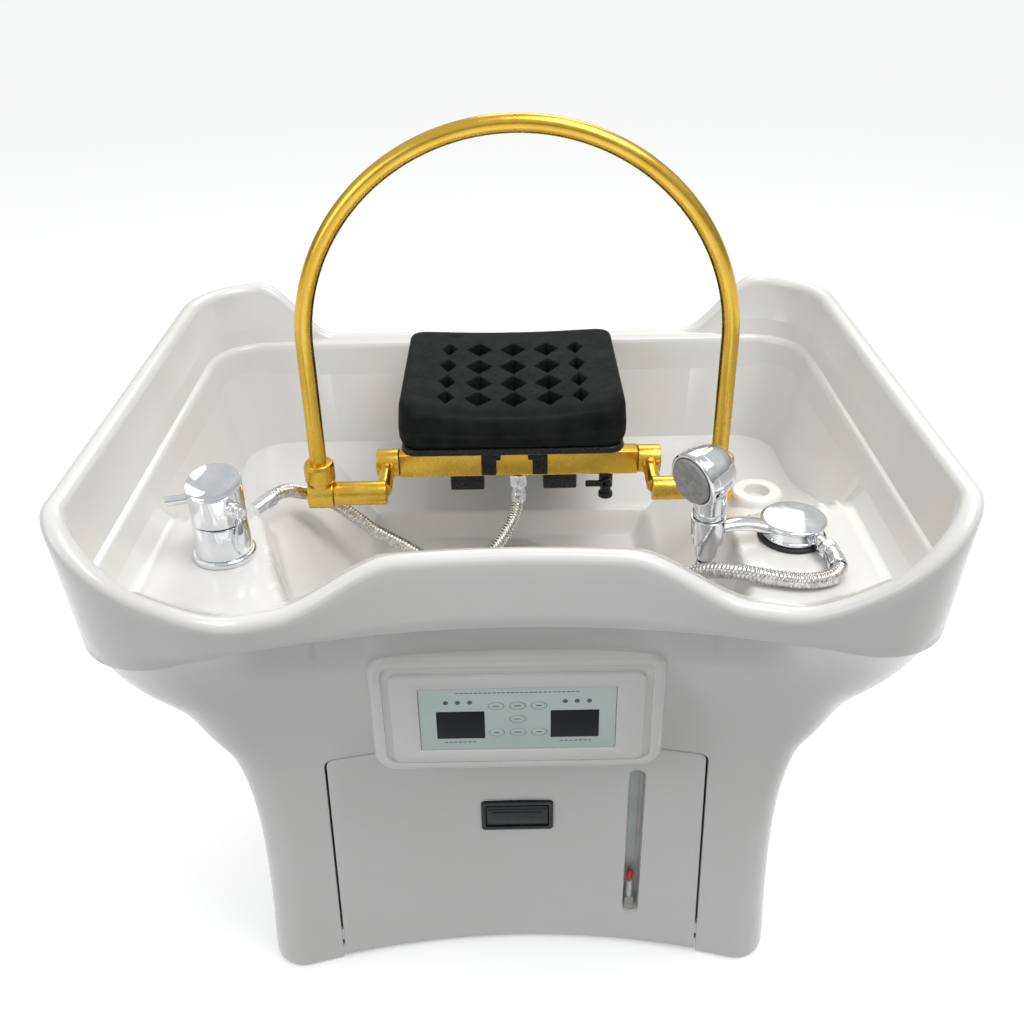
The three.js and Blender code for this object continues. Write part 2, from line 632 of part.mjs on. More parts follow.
function handsetBody() {
  const { x, y } = CRADLE;
  const head = alongHead(turned([
    [0, -26], [14, -24], [23, -15], [26, 0], [26, 14], [24.5, 15], [0, 15],
  ], 0, 0, 24), 0);
  const neck = rod(vec(x, y, 608), vec(x - 4, y - 1, 640), 13, 18);
  const handle = turned([
    [0, 560], [8.4, 560], [10, 566], [11.2, 580], [11.6, 604], [14, 610], [13, 624], [0, 630],
  ], x, y, 18);
  return join(head, neck, handle);
}

function handsetFace() {
  const plate = turned([[0, 0], [21, 0], [22, 1.2], [20.5, 3], [0, 3.6]], 0, 0, 24);
  return alongHead(plate, 15 + GAP);
}

const HANDSET_HOSE = [
  vec(DIVERTER.x + 25, DIVERTER.y - 61.4, DECK + 9.6), vec(DIVERTER.x + 24, DIVERTER.y - 69, DECK + 8.6),
  vec(DIVERTER.x + 13, DIVERTER.y - 80, DECK + 8), vec(DIVERTER.x - 8, DIVERTER.y - 84, DECK + 8),
  vec(225, -217, DECK + 8), vec(196, -207, DECK + 8), vec(168, -191, 571), vec(140, -172, 546),
  vec(112, -150, 506), vec(84, -128, 467), vec(50, -108, 436), vec(16, -94, 429), vec(-2, -70, 429),
  vec(12, -44, 429), vec(48, -36, 429), vec(85, -48, 431), vec(118, -74, 442), vec(145, -104, 470),
  vec(163, -130, 506), vec(173, -146, 536), vec(CRADLE.x, CRADLE.y, 557.5),
];

// ---------------------------------------------------------------- ring hose and its ends
const RING_HOSE = [
  vec(-240.4, -45, 567.9), vec(-233.5, -37, 569.8), vec(-226.5, -20, 563), vec(-220, -2, 551),
  vec(-213, 15, 539),
  vec(-197, 20, 529), vec(-178, 13, 520), vec(-146, -2, 503), vec(-107, -20, 489), vec(-70, -40, 472),
  vec(-42, -62, 454), vec(-40, -86, 437), vec(-76, -98, 429), vec(-108, -86, 429), vec(-113, -56, 430),
  vec(-98, -28, 432), vec(-60, -10, 445), vec(-28, 4, 463), vec(-8, 24, 480), vec(3, 42, 493),
  vec(7.3, BAR.y, 506.5),
];

function hoseFerrule() {
  return join(rod(vec(-264, -58, 555), vec(-242.8, -46.4, 566.6), 7.8, 16),
    rod(vec(-264, -58, 543.5), vec(-264, -58, 558), 9, 16));
}

function inletCoupling() {
  const top = BAR.z - BAR.height / 2 - GAP;
  const [x, y] = [7.3, BAR.y];
  const nut = turned([[0, top - 8], [12, top - 8], [12, top], [0, top]], x, y, 20);
  const hex = new THREE.CylinderGeometry(10, 10, 12, 6).rotateX(Math.PI / 2).translate(x, y, top - 13);
  return join(nut, hex, rod(vec(x, y, 511.5), vec(x, y, top - 18), 8, 18));
}

const overflowRing = () => turned([[12.5, 0], [24, 0], [24.5, 2], [23, 3.5], [13.5, 3.5], [12.5, 2.5],
  [12.5, 0]], 0, 0).translate(OVERFLOW.x, OVERFLOW.y, OVERFLOW.seat + GAP);

// ---------------------------------------------------------------- gold bar, arms and arch
function crossbar() {
  const outline = roundedOutline(BAR.depth, BAR.height, 2.5);
  outline.holes.push(roundedOutline(BAR.depth - 4, BAR.height - 4, 1.5));
  const bar = new THREE.ExtrudeGeometry(outline, {
    depth: 2 * BAR.half, bevelEnabled: false, curveSegments: 3,
  });
  bar.rotateX(Math.PI / 2).rotateZ(Math.PI / 2);
  return bar.translate(GOLD_X - BAR.half, BAR.y, BAR.z);
}

function crossbarMount() {
  const back = BAR.y + BAR.depth / 2 + GAP;
  return join(block(-14, 28, back, back + 5, 542, 566), block(-6, 20, back + 4, 245.3, 546, 564),
    block(-22, 34, 243.3, 248.8, 532, 571));
}

// One swing arm: the knuckle beside the bar, the rod towards the operator and the outboard bar.
function swingArm(side) {
  const inner = GOLD_X + side * (BAR.half + GAP);
  const outer = inner + side * ARM.width;
  const middle = (inner + outer) / 2;
  const start = GOLD_X + side * (BAR.half + 9);
  const end = GOLD_X + side * (ARCH.radius - 13 - GAP);
  return join(rod(vec(inner, BAR.y, BAR.z), vec(outer, BAR.y, BAR.z), ARM.knuckle, 24),
    rod(vec(middle, BAR.y - 8, BAR.z), vec(middle, ARM.y + 4, ARM.z), ARM.rod, 16),
    rod(vec(start, ARM.y, ARM.z), vec(end, ARM.y, ARM.z), 12.5, 24));
}

function archBlock(side) {
  const x = GOLD_X + side * ARCH.radius;
  const barrel = rod(vec(x - 13, ARM.y, ARM.z), vec(x + 13, ARM.y, ARM.z), 15, 24);
  const collar = turned([[0, ARM.z], [11, ARM.z], [11, 567], [15, 567], [15.6, 569], [15.6, 584], [14.5, 588],
    [0, 588]], x, ARM.y, 24);
  return join(barrel, collar);
}

function archTube() {
  const route = new THREE.CurvePath();
  const [left, right] = [GOLD_X - ARCH.radius, GOLD_X + ARCH.radius];
  const { foot: low, springing, radius } = ARCH;
  route.add(new THREE.LineCurve3(vec(left, ARM.y, low), vec(left, ARM.y, springing)));
  const half = new THREE.Curve();
  half.getPoint = (t) => vec(
    GOLD_X - radius * Math.cos(Math.PI * t), ARM.y, springing + radius * Math.sin(Math.PI * t));
  route.add(half);
  route.add(new THREE.LineCurve3(vec(right, ARM.y, springing), vec(right, ARM.y, low)));
  return tube(route, ARCH.tube, 12, 36);
}

function valveBody() {
  return turned([[0, 513], [6, 513], [6, 520], [7.5, 521], [7.5, 537], [6, BAR.z - BAR.height / 2 - GAP],
    [0, BAR.z - BAR.height / 2 - GAP]], 103, BAR.y, 18);
}

function valveLever() {
  const hub = rod(vec(103, BAR.y - 7.9, 530), vec(103, BAR.y - 13, 530), 5.5, 16);
  return join(hub, block(78, 103, BAR.y - 13, BAR.y - 9, 526.5, 533.5));
}

// ---------------------------------------------------------------- headrest
const REST = { x: 2, half: 119, front: 25, back: 243, low: 582, high: 634 };

function headrestTray() {
  const plate = block(REST.x - 117, REST.x + 117, REST.front + 2, REST.back - 2, 574, REST.low - GAP);
  const barFront = BAR.y - BAR.depth / 2 - GAP;
  const barBack = BAR.y + BAR.depth / 2 + GAP;
  const hooks = [-24, 31].map((x) => block(x - 8, x + 8, barFront - 4.5, barFront, 544, 575));
  const legs = [-48.5, 53.5].map((x) => block(x - 18.5, x + 18.5, barBack, barBack + 18, 512, 575));
  return join(plate, ...hooks, ...legs);
}

// The cushion: a rounded slab with a shallow hollow along its middle.
function headrestCushion() {
  const { half, low, high } = REST;
  const outline = new THREE.Shape();
  outline.moveTo(-half + 10, low);
  outline.lineTo(half - 10, low);
  outline.quadraticCurveTo(half, low, half, low + 10);
  outline.lineTo(half, high - 12);
  outline.quadraticCurveTo(half, high, half - 16, high);
  outline.quadraticCurveTo(0, high - 12, -half + 16, high);
  outline.quadraticCurveTo(-half, high, -half, high - 12);
  outline.lineTo(-half, low + 10);
  outline.quadraticCurveTo(-half, low, -half + 10, low);
  return upright(outline, REST.x, 0, REST.front, REST.back, 6);
}

// ---------------------------------------------------------------- materials
function material(color, roughness, metalness = 0) {
  return new THREE.MeshStandardMaterial({ color, roughness, metalness });
}

const WHITE = material(0xe4e0da, 0.22);
const INNER_WHITE = material(0xd8d6d0, 0.5);
const GOLD = material(0xc8931a, 0.3, 1);
const CHROME = material(0xd8dadd, 0.08, 1);
const BLACK = material(0x1c1e20, 0.45);
const SOFT_BLACK = material(0x262b2b, 0.6);
const RUBBER = material(0x151515, 0.85);
const MINT = material(0xcddcd7, 0.35);
const GLASS = material(0xdde6e8, 0.05);
const SCREEN = material(0x14191d, 0.12);
const RED = material(0xd81f30, 0.4);
const STEEL = material(0x9a9d9f, 0.4, 1);

// ---------------------------------------------------------------- assembly
const unit = new THREE.Group();

function add(name, geometry, finish) {
  const mesh = new THREE.Mesh(facingOut(closedBody(geometry)), finish);
  mesh.name = name;
  unit.add(mesh);
}

add('basin_tub', basinTub(), WHITE);
add('pedestal_shell', pedestalShell(), WHITE);
add('base_plate', basePlate(), INNER_WHITE);
for (const [name, x, y] of [['front_left', -225, -95], ['front_right', 225, -95], ['back_left', -225, 170],
  ['back_right', 225, 170]]) {
  add(`foot_${name}`, foot(x, y), RUBBER);
}
add('front_door', frontDoor(), WHITE);
add('latch_bezel', latchBezel(), BLACK);
add('latch_paddle', latchPaddle(), BLACK);
add('catch_magnet', catchMagnet(), STEEL);

add('water_tank', waterTank(), INNER_WHITE);
add('level_channel', levelChannel(), INNER_WHITE);
add('level_tube', levelTube(), GLASS);
add('level_float', levelFloat(), RED);
add('circulation_pump', circulationPump(), STEEL);
add('heater_unit', heaterUnit(), STEEL);
add('control_box', controlBox(), INNER_WHITE);
add('drain_body', drainBody(), INNER_WHITE);
add('drain_strainer', drainStrainer(), CHROME);
add('waste_pipe', wastePipe(), INNER_WHITE);
add('power_inlet', powerInlet(), BLACK);
add('overflow_ring', overflowRing(), WHITE);

add('panel_bezel', panelBezel(), WHITE);
add('label_plate', labelPlate(), MINT);
add('display_left', display(-1), SCREEN);
add('display_right', display(1), SCREEN);
KEY_PLACES.forEach((place, i) => add(`key_${i + 1}`, key(place), MINT));

add('mixer_base', mixerBase(), CHROME);
add('mixer_body', mixerBody(), CHROME);
add('mixer_cap', mixerCap(), CHROME);
add('diverter_seal', diverterSeal(), RUBBER);
add('diverter_body', diverterBody(), CHROME);
add('diverter_cap', diverterCap(), CHROME);
add('diverter_elbow', diverterElbow(), CHROME);
add('handset_cradle', handsetCradle(), CHROME);
add('handset_body', handsetBody(), CHROME);
add('handset_face', handsetFace(), STEEL);
add('handset_hose', tube(HANDSET_HOSE, HOSE, 8, 52), CHROME);

add('hose_ferrule', hoseFerrule(), CHROME);
add('ring_hose', tube(RING_HOSE, HOSE, 8, 52), CHROME);
add('inlet_coupling', inletCoupling(), CHROME);
add('crossbar', crossbar(), GOLD);
add('crossbar_mount', crossbarMount(), STEEL);
add('arm_left', swingArm(-1), GOLD);
add('arm_right', swingArm(1), GOLD);
add('arch_block_left', archBlock(-1), GOLD);
add('arch_block_right', archBlock(1), GOLD);
add('arch_tube', archTube(), GOLD);
add('valve_body', valveBody(), BLACK);
add('valve_lever', valveLever(), BLACK);
add('headrest_tray', headrestTray(), BLACK);
add('headrest_cushion', headrestCushion(), SOFT_BLACK);

export default unit;
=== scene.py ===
"""Shampoo backwash unit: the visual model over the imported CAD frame.

Shapes are worked out in millimetres, +Z up, with the origin on the floor under the middle of the rim,
and become metres when their mesh is made. +X is the operator's right, +Y is towards the client's neck.
"""
from math import asin, atan2, copysign, cos, dist, exp, hypot, pi, radians, sin, sqrt, tan
from types import SimpleNamespace as Sizes

import bmesh
import bpy
from mathutils import Matrix, Vector


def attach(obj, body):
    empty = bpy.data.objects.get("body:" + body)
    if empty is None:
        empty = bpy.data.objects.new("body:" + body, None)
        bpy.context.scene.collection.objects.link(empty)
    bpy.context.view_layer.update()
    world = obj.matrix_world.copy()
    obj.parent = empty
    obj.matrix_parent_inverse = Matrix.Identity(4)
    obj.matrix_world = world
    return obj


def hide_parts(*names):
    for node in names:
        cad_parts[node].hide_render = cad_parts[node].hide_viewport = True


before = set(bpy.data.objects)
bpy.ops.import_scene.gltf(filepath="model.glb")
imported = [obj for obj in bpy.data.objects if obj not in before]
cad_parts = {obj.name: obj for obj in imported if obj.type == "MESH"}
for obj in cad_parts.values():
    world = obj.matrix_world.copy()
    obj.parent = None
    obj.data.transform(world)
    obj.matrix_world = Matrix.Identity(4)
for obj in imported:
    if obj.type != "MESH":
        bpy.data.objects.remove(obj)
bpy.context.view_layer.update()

MM = 0.001

# ---- driving dimensions (mm)
WALL = 5
RIM = Sizes(half_width=375, back=288.3, front=-230, bow=840, front_corner=56, back_corner=85)
BAND = Sizes(half_width=375, back=288.3, front=-226, bow=900, front_corner=66, back_corner=85)
RIM_TOP = 680
RIM_LIP = 19
BAND_BOTTOM = 538
NECK_DIP = 614
FRONT_MIDDLE = 616
FRONT_DIP = 574
LEDGE = 610
DECK = 572
BOWL = 445
SHELF = 487
SUMP = 418
DRAIN = (0, 62)
DRAIN_RADIUS = 30
OVERFLOW = (257, 4, 541)

DOOR = Sizes(half_top=200, half_bottom=207, bottom=3.8, top=313, gap=2.2)
SLOT = Sizes(x=129, bottom=54, top=280, width=18)
LATCH = Sizes(width=79, height=42, z=208.5)
LATCH_FACE = -127
PANEL = Sizes(x=2, z=407, width=284, height=144, face=-190)
LABEL = Sizes(width=188.6, height=77, z=402.5)
KEY_STEP = (20.5, 16.5)
DISPLAY = Sizes(x=55, z=-7, width=46.6, height=34)

GOLD_X = 8
BAR = Sizes(half=128, y=53.5, z=554, depth=20, height=28)
ARM = Sizes(knuckle=15, width=24, rod=8, y=-6.5, z=551)
ARCH = Sizes(radius=204, tube=8.5, springing=712, foot=588.3)
MIXER = (-262, -150)
DIVERTER = (257, -138)
CRADLE = (176, -152)
HOSE = 7
REST = Sizes(x=2, half=119, front=25, back=243, low=582, high=634)


# ---- small tools
def smooth(start, end, value):
    t = min(max((value - start) / (end - start), 0), 1)
    return t * t * (3 - 2 * t)


def mix(start, end, share):
    return start + (end - start) * share


def loft(rings, wrap=False, caps=False):
    """Points and faces of a skin through rings of equally many points."""
    count = len(rings[0])
    faces = []
    for r in range(len(rings) if wrap else len(rings) - 1):
        low = r * count
        high = (r + 1) % len(rings) * count
        for i in range(count):
            after = (i + 1) % count
            faces.append((low + i, low + after, high + after, high + i))
    if caps:
        last = (len(rings) - 1) * count
        faces.append(tuple(reversed(range(count))))
        faces.append(tuple(range(last, last + count)))
    return [point for ring in rings for point in ring], faces


def merged(*shapes):
    points, faces = [], []
    for shape_points, shape_faces in shapes:
        start = len(points)
        points += shape_points
        faces += [tuple(start + i for i in face) for face in shape_faces]
    return points, faces


def filleted(profile, radius, steps=4):
    """The open profile with its inner corners rounded."""
    result = [Vector(profile[0])]
    for before, corner, after in zip(profile, profile[1:], profile[2:]):
        a, c, b = Vector(before), Vector(corner), Vector(after)
        start = c + (a - c).normalized() * min(radius, (a - c).length * 0.48)
        end = c + (b - c).normalized() * min(radius, (b - c).length * 0.48)
        for k in range(steps + 1):
            t = k / steps
            result.append(start.lerp(c, t).lerp(c.lerp(end, t), t))
    result.append(Vector(profile[-1]))
    return result


def turned(profile, origin, direction=(0, 0, 1), edge=0.7, sides=56):
    """A body of revolution from (radius, height) pairs, its corners rounded by edge."""
    turn = Vector((0, 0, 1)).rotation_difference(Vector(direction))
    rings = []
    for radius, height in filleted(profile, edge):
        rings.append([
            Vector(origin) + turn @ Vector((
                radius * cos(2 * pi * i / sides), radius * sin(2 * pi * i / sides), height))
            for i in range(sides)])
    return loft(rings)


def rod(start, end, radius, edge=0.7, sides=40):
    length = (Vector(end) - Vector(start)).length
    profile = [(0, 0), (radius, 0), (radius, length), (0, length)]
    return turned(profile, start, Vector(end) - Vector(start), edge, sides)


def nut(start, end, radius):
    """A hexagonal nut with turned-off corners between two points."""
    length = (Vector(end) - Vector(start)).length
    turn = Vector((0, 0, 1)).rotation_difference(Vector(end) - Vector(start))
    rings = []
    trims = [(0, 0.86), (0.7, 0.93), (1.6, 1), (length - 1.6, 1), (length - 0.7, 0.93), (length, 0.86)]
    for height, trim in trims:
        ring = []
        for i in range(48):
            angle = 2 * pi * i / 48
            flat = 0.866 / cos((angle + pi / 6) % (pi / 3) - pi / 6)
            reach = radius * min(flat, trim)
            ring.append(Vector(start) + turn @ Vector((reach * cos(angle), reach * sin(angle), height)))
        rings.append(ring)
    return loft(rings, caps=True)


def spline(points, steps):
    """A Catmull-Rom curve through the points, with so many steps for each span."""
    nodes = [Vector(p) for p in points]
    nodes = [nodes[0] * 2 - nodes[1], *nodes, nodes[-1] * 2 - nodes[-2]]
    curve = []
    for a, b, c, d in zip(nodes, nodes[1:], nodes[2:], nodes[3:]):
        for k in range(steps):
            t = k / steps
            curve.append(0.5 * (2 * b + (c - a) * t + (2 * a - 5 * b + 4 * c - d) * t ** 2
                                + (3 * b - a - 3 * c + d) * t ** 3))
    return [*curve, nodes[-2]]


def evenly(path, step):
    """The same path with its points a fixed step apart."""
    result = [path[0]]
    left = step
    for a, b in zip(path, path[1:]):
        length = (b - a).length
        while left <= length:
            result.append(a.lerp(b, left / length))
            left += step
        left -= length
    return result


def side_name(side):
    return "left" if side < 0 else "right"


def path_length(path):
    return sum((b - a).length for a, b in zip(path, path[1:]))


def sweep(path, radius, sides=24, flatness=1, side=(0, 0, 1)):
    """A tube along the path. radius is a function of the distance along it and of the angle round it."""
    rings = []
    distance = 0
    across = Vector(side)
    for i, point in enumerate(path):
        ahead = path[min(i + 1, len(path) - 1)] - path[max(i - 1, 0)]
        across = (across - across.project(ahead)).normalized()
        third = ahead.normalized().cross(across)
        if i:
            distance += (point - path[i - 1]).length
        ring = []
        for k in range(sides):
            angle = 2 * pi * k / sides
            reach = radius(distance, angle)
            ring.append(point + across * reach * flatness * cos(angle) + third * reach * sin(angle))
        rings.append(ring)
    return loft(rings, caps=True)


def rounded_rectangle(width, height, radius, steps=8):
    outline = []
    for corner, (sx, sz) in enumerate([(1, 1), (-1, 1), (-1, -1), (1, -1)]):
        for k in range(steps + 1):
            angle = (corner + k / steps) * pi / 2
            outline.append((sx * (width / 2 - radius) + radius * cos(angle),
                            sz * (height / 2 - radius) + radius * sin(angle)))
    return outline


def ellipse(half_width, half_height, steps=40):
    return [(half_width * cos(2 * pi * k / steps), half_height * sin(2 * pi * k / steps))
            for k in range(steps)]


def plate(x, z, width, height, radius, front, back, edge=0.8):
    """An upright rounded rectangle facing -Y, with its front edges rounded."""
    rings = []
    for inset, y in [(0, back), (0, front + edge), (edge * 0.3, front + edge * 0.3), (edge, front)]:
        outline = rounded_rectangle(width - 2 * inset, height - 2 * inset, max(radius - inset, 0.3))
        rings.append([Vector((x + u, y, z + v)) for u, v in outline])
    return loft(rings, caps=True)


def frame_plate(x, z, outer, inner, front, back, edge=0.8):
    """An upright frame facing -Y: outer and inner are (width, height, radius)."""
    rings = []
    steps = [(outer, 0, back), (outer, 0, front + edge), (outer, edge * 0.3, front + edge * 0.3),
             (outer, edge, front), (inner, -edge, front), (inner, -edge * 0.3, front + edge * 0.3),
             (inner, 0, front + edge), (inner, 0, back)]
    for (width, height, radius), inset, y in steps:
        outline = rounded_rectangle(width - 2 * inset, height - 2 * inset, max(radius - inset, 0.3))
        rings.append([Vector((x + u, y, z + v)) for u, v in outline])
    return loft(rings, wrap=True)


def rounded_ends(low, high, edge):
    """Insets and places of the rings of a bar whose two ends have rounded edges."""
    start = [(edge, low), (edge * 0.3, low + edge * 0.3), (0, low + edge)]
    return start + [(0, high - edge), (edge * 0.3, high - edge * 0.3), (edge, high)]


def block(low, high, edge=0.8):
    """A box between two corners, with rounded edges."""
    (x0, y0, z0), (x1, y1, z1) = low, high
    rings = []
    for inset, z in rounded_ends(z0, z1, edge):
        outline = rounded_rectangle(x1 - x0 - 2 * inset, y1 - y0 - 2 * inset, edge, steps=3)
        rings.append([Vector(((x0 + x1) / 2 + u, (y0 + y1) / 2 + v, z)) for u, v in outline])
    return loft(rings, caps=True)


def new_object(name, shape, sharp=35):
    points, faces = shape
    mesh = bpy.data.meshes.new(name)
    mesh.from_pydata([Vector(p) * MM for p in points], [], faces)
    work = bmesh.new()
    work.from_mesh(mesh)
    bmesh.ops.remove_doubles(work, verts=work.verts, dist=2e-6)
    bmesh.ops.recalc_face_normals(work, faces=work.faces)
    work.to_mesh(mesh)
    work.free()
    mesh.shade_smooth()
    mesh.set_sharp_from_angle(angle=radians(sharp))
    obj = bpy.data.objects.new(name, mesh)
    bpy.context.scene.collection.objects.link(obj)
    return obj


def subtract(obj, *cutters, sharp=35):
    """Cuts the shapes out of the object."""
    for shape in cutters:
        cutter = new_object("cutter", shape)
        modifier = obj.modifiers.new("cut", "BOOLEAN")
        modifier.operation = "DIFFERENCE"
        modifier.solver = "MANIFOLD"
        modifier.object = cutter
        evaluated = obj.evaluated_get(bpy.context.evaluated_depsgraph_get())
        mesh = bpy.data.meshes.new_from_object(evaluated)
        obj.modifiers.clear()
        obj.data = mesh
        bpy.data.objects.remove(cutter)
    obj.data.shade_smooth()
    obj.data.set_sharp_from_angle(angle=radians(sharp))


def settle(obj, material, body="frame", nodes=()):
    """Gives a new object its material and its body, and hides the CAD nodes that it stands for."""
    obj.data.materials.clear()
    obj.data.materials.append(material)
    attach(obj, body)
    if nodes:
        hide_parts(*nodes)
    return obj


def piece(name, shape, material, body="frame", nodes=(), sharp=35):
    return settle(new_object(name, shape, sharp), material, body, nodes)


# ---- materials
def plain_material(name, color, roughness, metallic=0, **extra):
    material = bpy.data.materials.new(f"{name}_finish")
    material["slot"] = name
    material.use_nodes = True
    shader = material.node_tree.nodes["Principled BSDF"]
    shader.inputs["Base Color"].default_value = (*color, 1)
    shader.inputs["Roughness"].default_value = roughness
    shader.inputs["Metallic"].default_value = metallic
    for socket, value in extra.items():
        shader.inputs[socket.replace("_", " ")].default_value = value
    return material


def shader_tree(material):
    return material.node_tree.nodes, material.node_tree.links


def noise(material, scale, detail=3, stretch=(1, 1, 1)):
    """The output of a noise texture on the object's own coordinates. scale is features for each metre."""
    nodes, links = shader_tree(material)
    place = nodes.new("ShaderNodeTexCoord")
    mapping = nodes.new("ShaderNodeMapping")
    mapping.inputs["Scale"].default_value = stretch
    texture = nodes.new("ShaderNodeTexNoise")
    texture.inputs["Scale"].default_value = scale
    texture.inputs["Detail"].default_value = detail
    links.new(place.outputs["Object"], mapping.inputs["Vector"])
    links.new(mapping.outputs["Vector"], texture.inputs["Vector"])
    return texture.outputs["Fac"]


def cells(material, scale):
    """The distance to the nearest point of a random scatter, for grained skins."""
    nodes, links = shader_tree(material)
    place = nodes.new("ShaderNodeTexCoord")
    texture = nodes.new("ShaderNodeTexVoronoi")
    texture.inputs["Scale"].default_value = scale
    links.new(place.outputs["Object"], texture.inputs["Vector"])
    return texture.outputs["Distance"]


def vary_color(material, grain, dark, light, low=0.35, high=0.65):
    nodes, links = shader_tree(material)
    ramp = nodes.new("ShaderNodeValToRGB")
    ramp.color_ramp.elements[0].position = low
    ramp.color_ramp.elements[0].color = (*dark, 1)
    ramp.color_ramp.elements[1].position = high
    ramp.color_ramp.elements[1].color = (*light, 1)
    links.new(noise(material, *grain), ramp.inputs["Fac"])
    links.new(ramp.outputs["Color"], nodes["Principled BSDF"].inputs["Base Color"])


def vary_roughness(material, grain, smoothest, roughest):
    nodes, links = shader_tree(material)
    spread = nodes.new("ShaderNodeMapRange")
    spread.inputs["From Min"].default_value = 0.3
    spread.inputs["From Max"].default_value = 0.7
    spread.inputs["To Min"].default_value = smoothest
    spread.inputs["To Max"].default_value = roughest
    links.new(noise(material, *grain), spread.inputs["Value"])
    links.new(spread.outputs["Result"], nodes["Principled BSDF"].inputs["Roughness"])


def add_bump(material, source, strength, depth):
    """Bump of that depth in millimetres, on top of any bump the material has already."""
    nodes, links = shader_tree(material)
    normal = nodes["Principled BSDF"].inputs["Normal"]
    bump = nodes.new("ShaderNodeBump")
    bump.inputs["Strength"].default_value = strength
    bump.inputs["Distance"].default_value = depth * MM
    if normal.links:
        links.new(normal.links[0].from_socket, bump.inputs["Normal"])
    links.new(source, bump.inputs["Height"])
    links.new(bump.outputs["Normal"], normal)


def white_shell_material():
    material = plain_material("white_shell", (0.8, 0.79, 0.77), 0.2, Coat_Weight=0.35, Coat_Roughness=0.06)
    vary_color(material, (5, 3), (0.785, 0.775, 0.752), (0.81, 0.802, 0.785))
    vary_roughness(material, (26, 4), 0.18, 0.27)
    add_bump(material, noise(material, 40, 2), 0.1, 0.25)
    add_bump(material, noise(material, 900, 2), 0.06, 0.03)
    return material


def inner_white_material():
    material = plain_material("inner_white", (0.7, 0.69, 0.66), 0.45)
    vary_color(material, (30, 3), (0.76, 0.76, 0.74), (0.84, 0.84, 0.82))
    add_bump(material, noise(material, 700), 0.2, 0.1)
    return material


def gold_material():
    material = plain_material("gold", (0.78, 0.5, 0.08), 0.26, 1)
    vary_color(material, (30, 3), (0.75, 0.47, 0.06), (0.82, 0.54, 0.09))
    vary_roughness(material, (120, 3), 0.22, 0.3)
    add_bump(material, noise(material, 1600, 2), 0.08, 0.02)
    return material


def chrome_material():
    material = plain_material("chrome", (0.83, 0.84, 0.86), 0.05, 1)
    vary_color(material, (45, 4), (0.74, 0.76, 0.79), (0.88, 0.89, 0.9))
    vary_roughness(material, (120, 5), 0.03, 0.13)
    return material


def hose_material():
    material = plain_material("hose_steel", (0.7, 0.7, 0.69), 0.16, 1)
    vary_color(material, (260, 3), (0.5, 0.49, 0.47), (0.84, 0.83, 0.81))
    vary_roughness(material, (500, 3), 0.1, 0.3)
    add_bump(material, noise(material, 700, 2), 0.3, 0.12)
    return material


def steel_material():
    material = plain_material("steel", (0.5, 0.5, 0.51), 0.35, 1)
    vary_roughness(material, (90, 4, (1, 12, 1)), 0.25, 0.45)
    add_bump(material, noise(material, 500, 2, (1, 10, 1)), 0.15, 0.05)
    return material


def soft_black_material():
    material = plain_material("soft_black", (0.008, 0.011, 0.011), 0.5, Specular_IOR_Level=0.1, IOR=1.3)
    vary_color(material, (40, 4), (0.008, 0.011, 0.011), (0.015, 0.019, 0.018))
    vary_roughness(material, (180, 4), 0.42, 0.56)
    add_bump(material, cells(material, 900), 0.35, 0.15)
    add_bump(material, noise(material, 420, 4), 0.25, 0.15)
    return material


def black_plastic_material():
    material = plain_material("black_plastic", (0.012, 0.014, 0.016), 0.28, Specular_IOR_Level=0.3)
    vary_color(material, (60, 3), (0.009, 0.011, 0.013), (0.015, 0.017, 0.019))
    vary_roughness(material, (300, 3), 0.24, 0.32)
    add_bump(material, noise(material, 1200, 2), 0.08, 0.02)
    return material


def rubber_material():
    material = plain_material("rubber", (0.02, 0.02, 0.02), 0.6)
    vary_roughness(material, (200, 3), 0.5, 0.7)
    add_bump(material, noise(material, 800), 0.25, 0.1)
    return material


def label_material():
    material = plain_material("label", (0.6, 0.7, 0.67), 0.24, Coat_Weight=0.3, Coat_Roughness=0.1)
    vary_color(material, (14, 3), (0.57, 0.68, 0.64), (0.66, 0.74, 0.71))
    add_bump(material, noise(material, 1500, 2), 0.12, 0.03)
    return material


def screen_material():
    material = plain_material("screen", (0.008, 0.011, 0.015), 0.2, Specular_IOR_Level=0.12)
    vary_roughness(material, (80, 4), 0.16, 0.26)
    return material


def ink_material():
    material = plain_material("ink", (0.03, 0.04, 0.05), 0.4)
    vary_color(material, (900, 2), (0.025, 0.035, 0.045), (0.12, 0.14, 0.15))
    return material


def red_float_material():
    material = plain_material("red_float", (0.85, 0.02, 0.06), 0.25)
    vary_color(material, (200, 2), (0.78, 0.01, 0.04), (0.95, 0.05, 0.1))
    return material


def clear_tube_material():
    material = plain_material("clear_tube", (0.96, 0.98, 0.98), 0.02, Transmission_Weight=1, IOR=1.03)
    vary_roughness(material, (120, 3), 0.0, 0.04)
    return material


def grey_face_material():
    material = plain_material("grey_face", (0.3, 0.3, 0.29), 0.4)
    vary_color(material, (160, 3), (0.25, 0.25, 0.245), (0.34, 0.34, 0.33))
    add_bump(material, noise(material, 900, 2), 0.2, 0.06)
    return material


WHITE = white_shell_material()
INNER_WHITE = inner_white_material()
GOLD = gold_material()
CHROME = chrome_material()
HOSE_STEEL = hose_material()
STEEL = steel_material()
SOFT_BLACK = soft_black_material()
BLACK = black_plastic_material()
RUBBER = rubber_material()
LABEL_FILM = label_material()
SCREEN = screen_material()
INK = ink_material()
RED = red_float_material()
CLEAR = clear_tube_material()
GREY_FACE = grey_face_material()


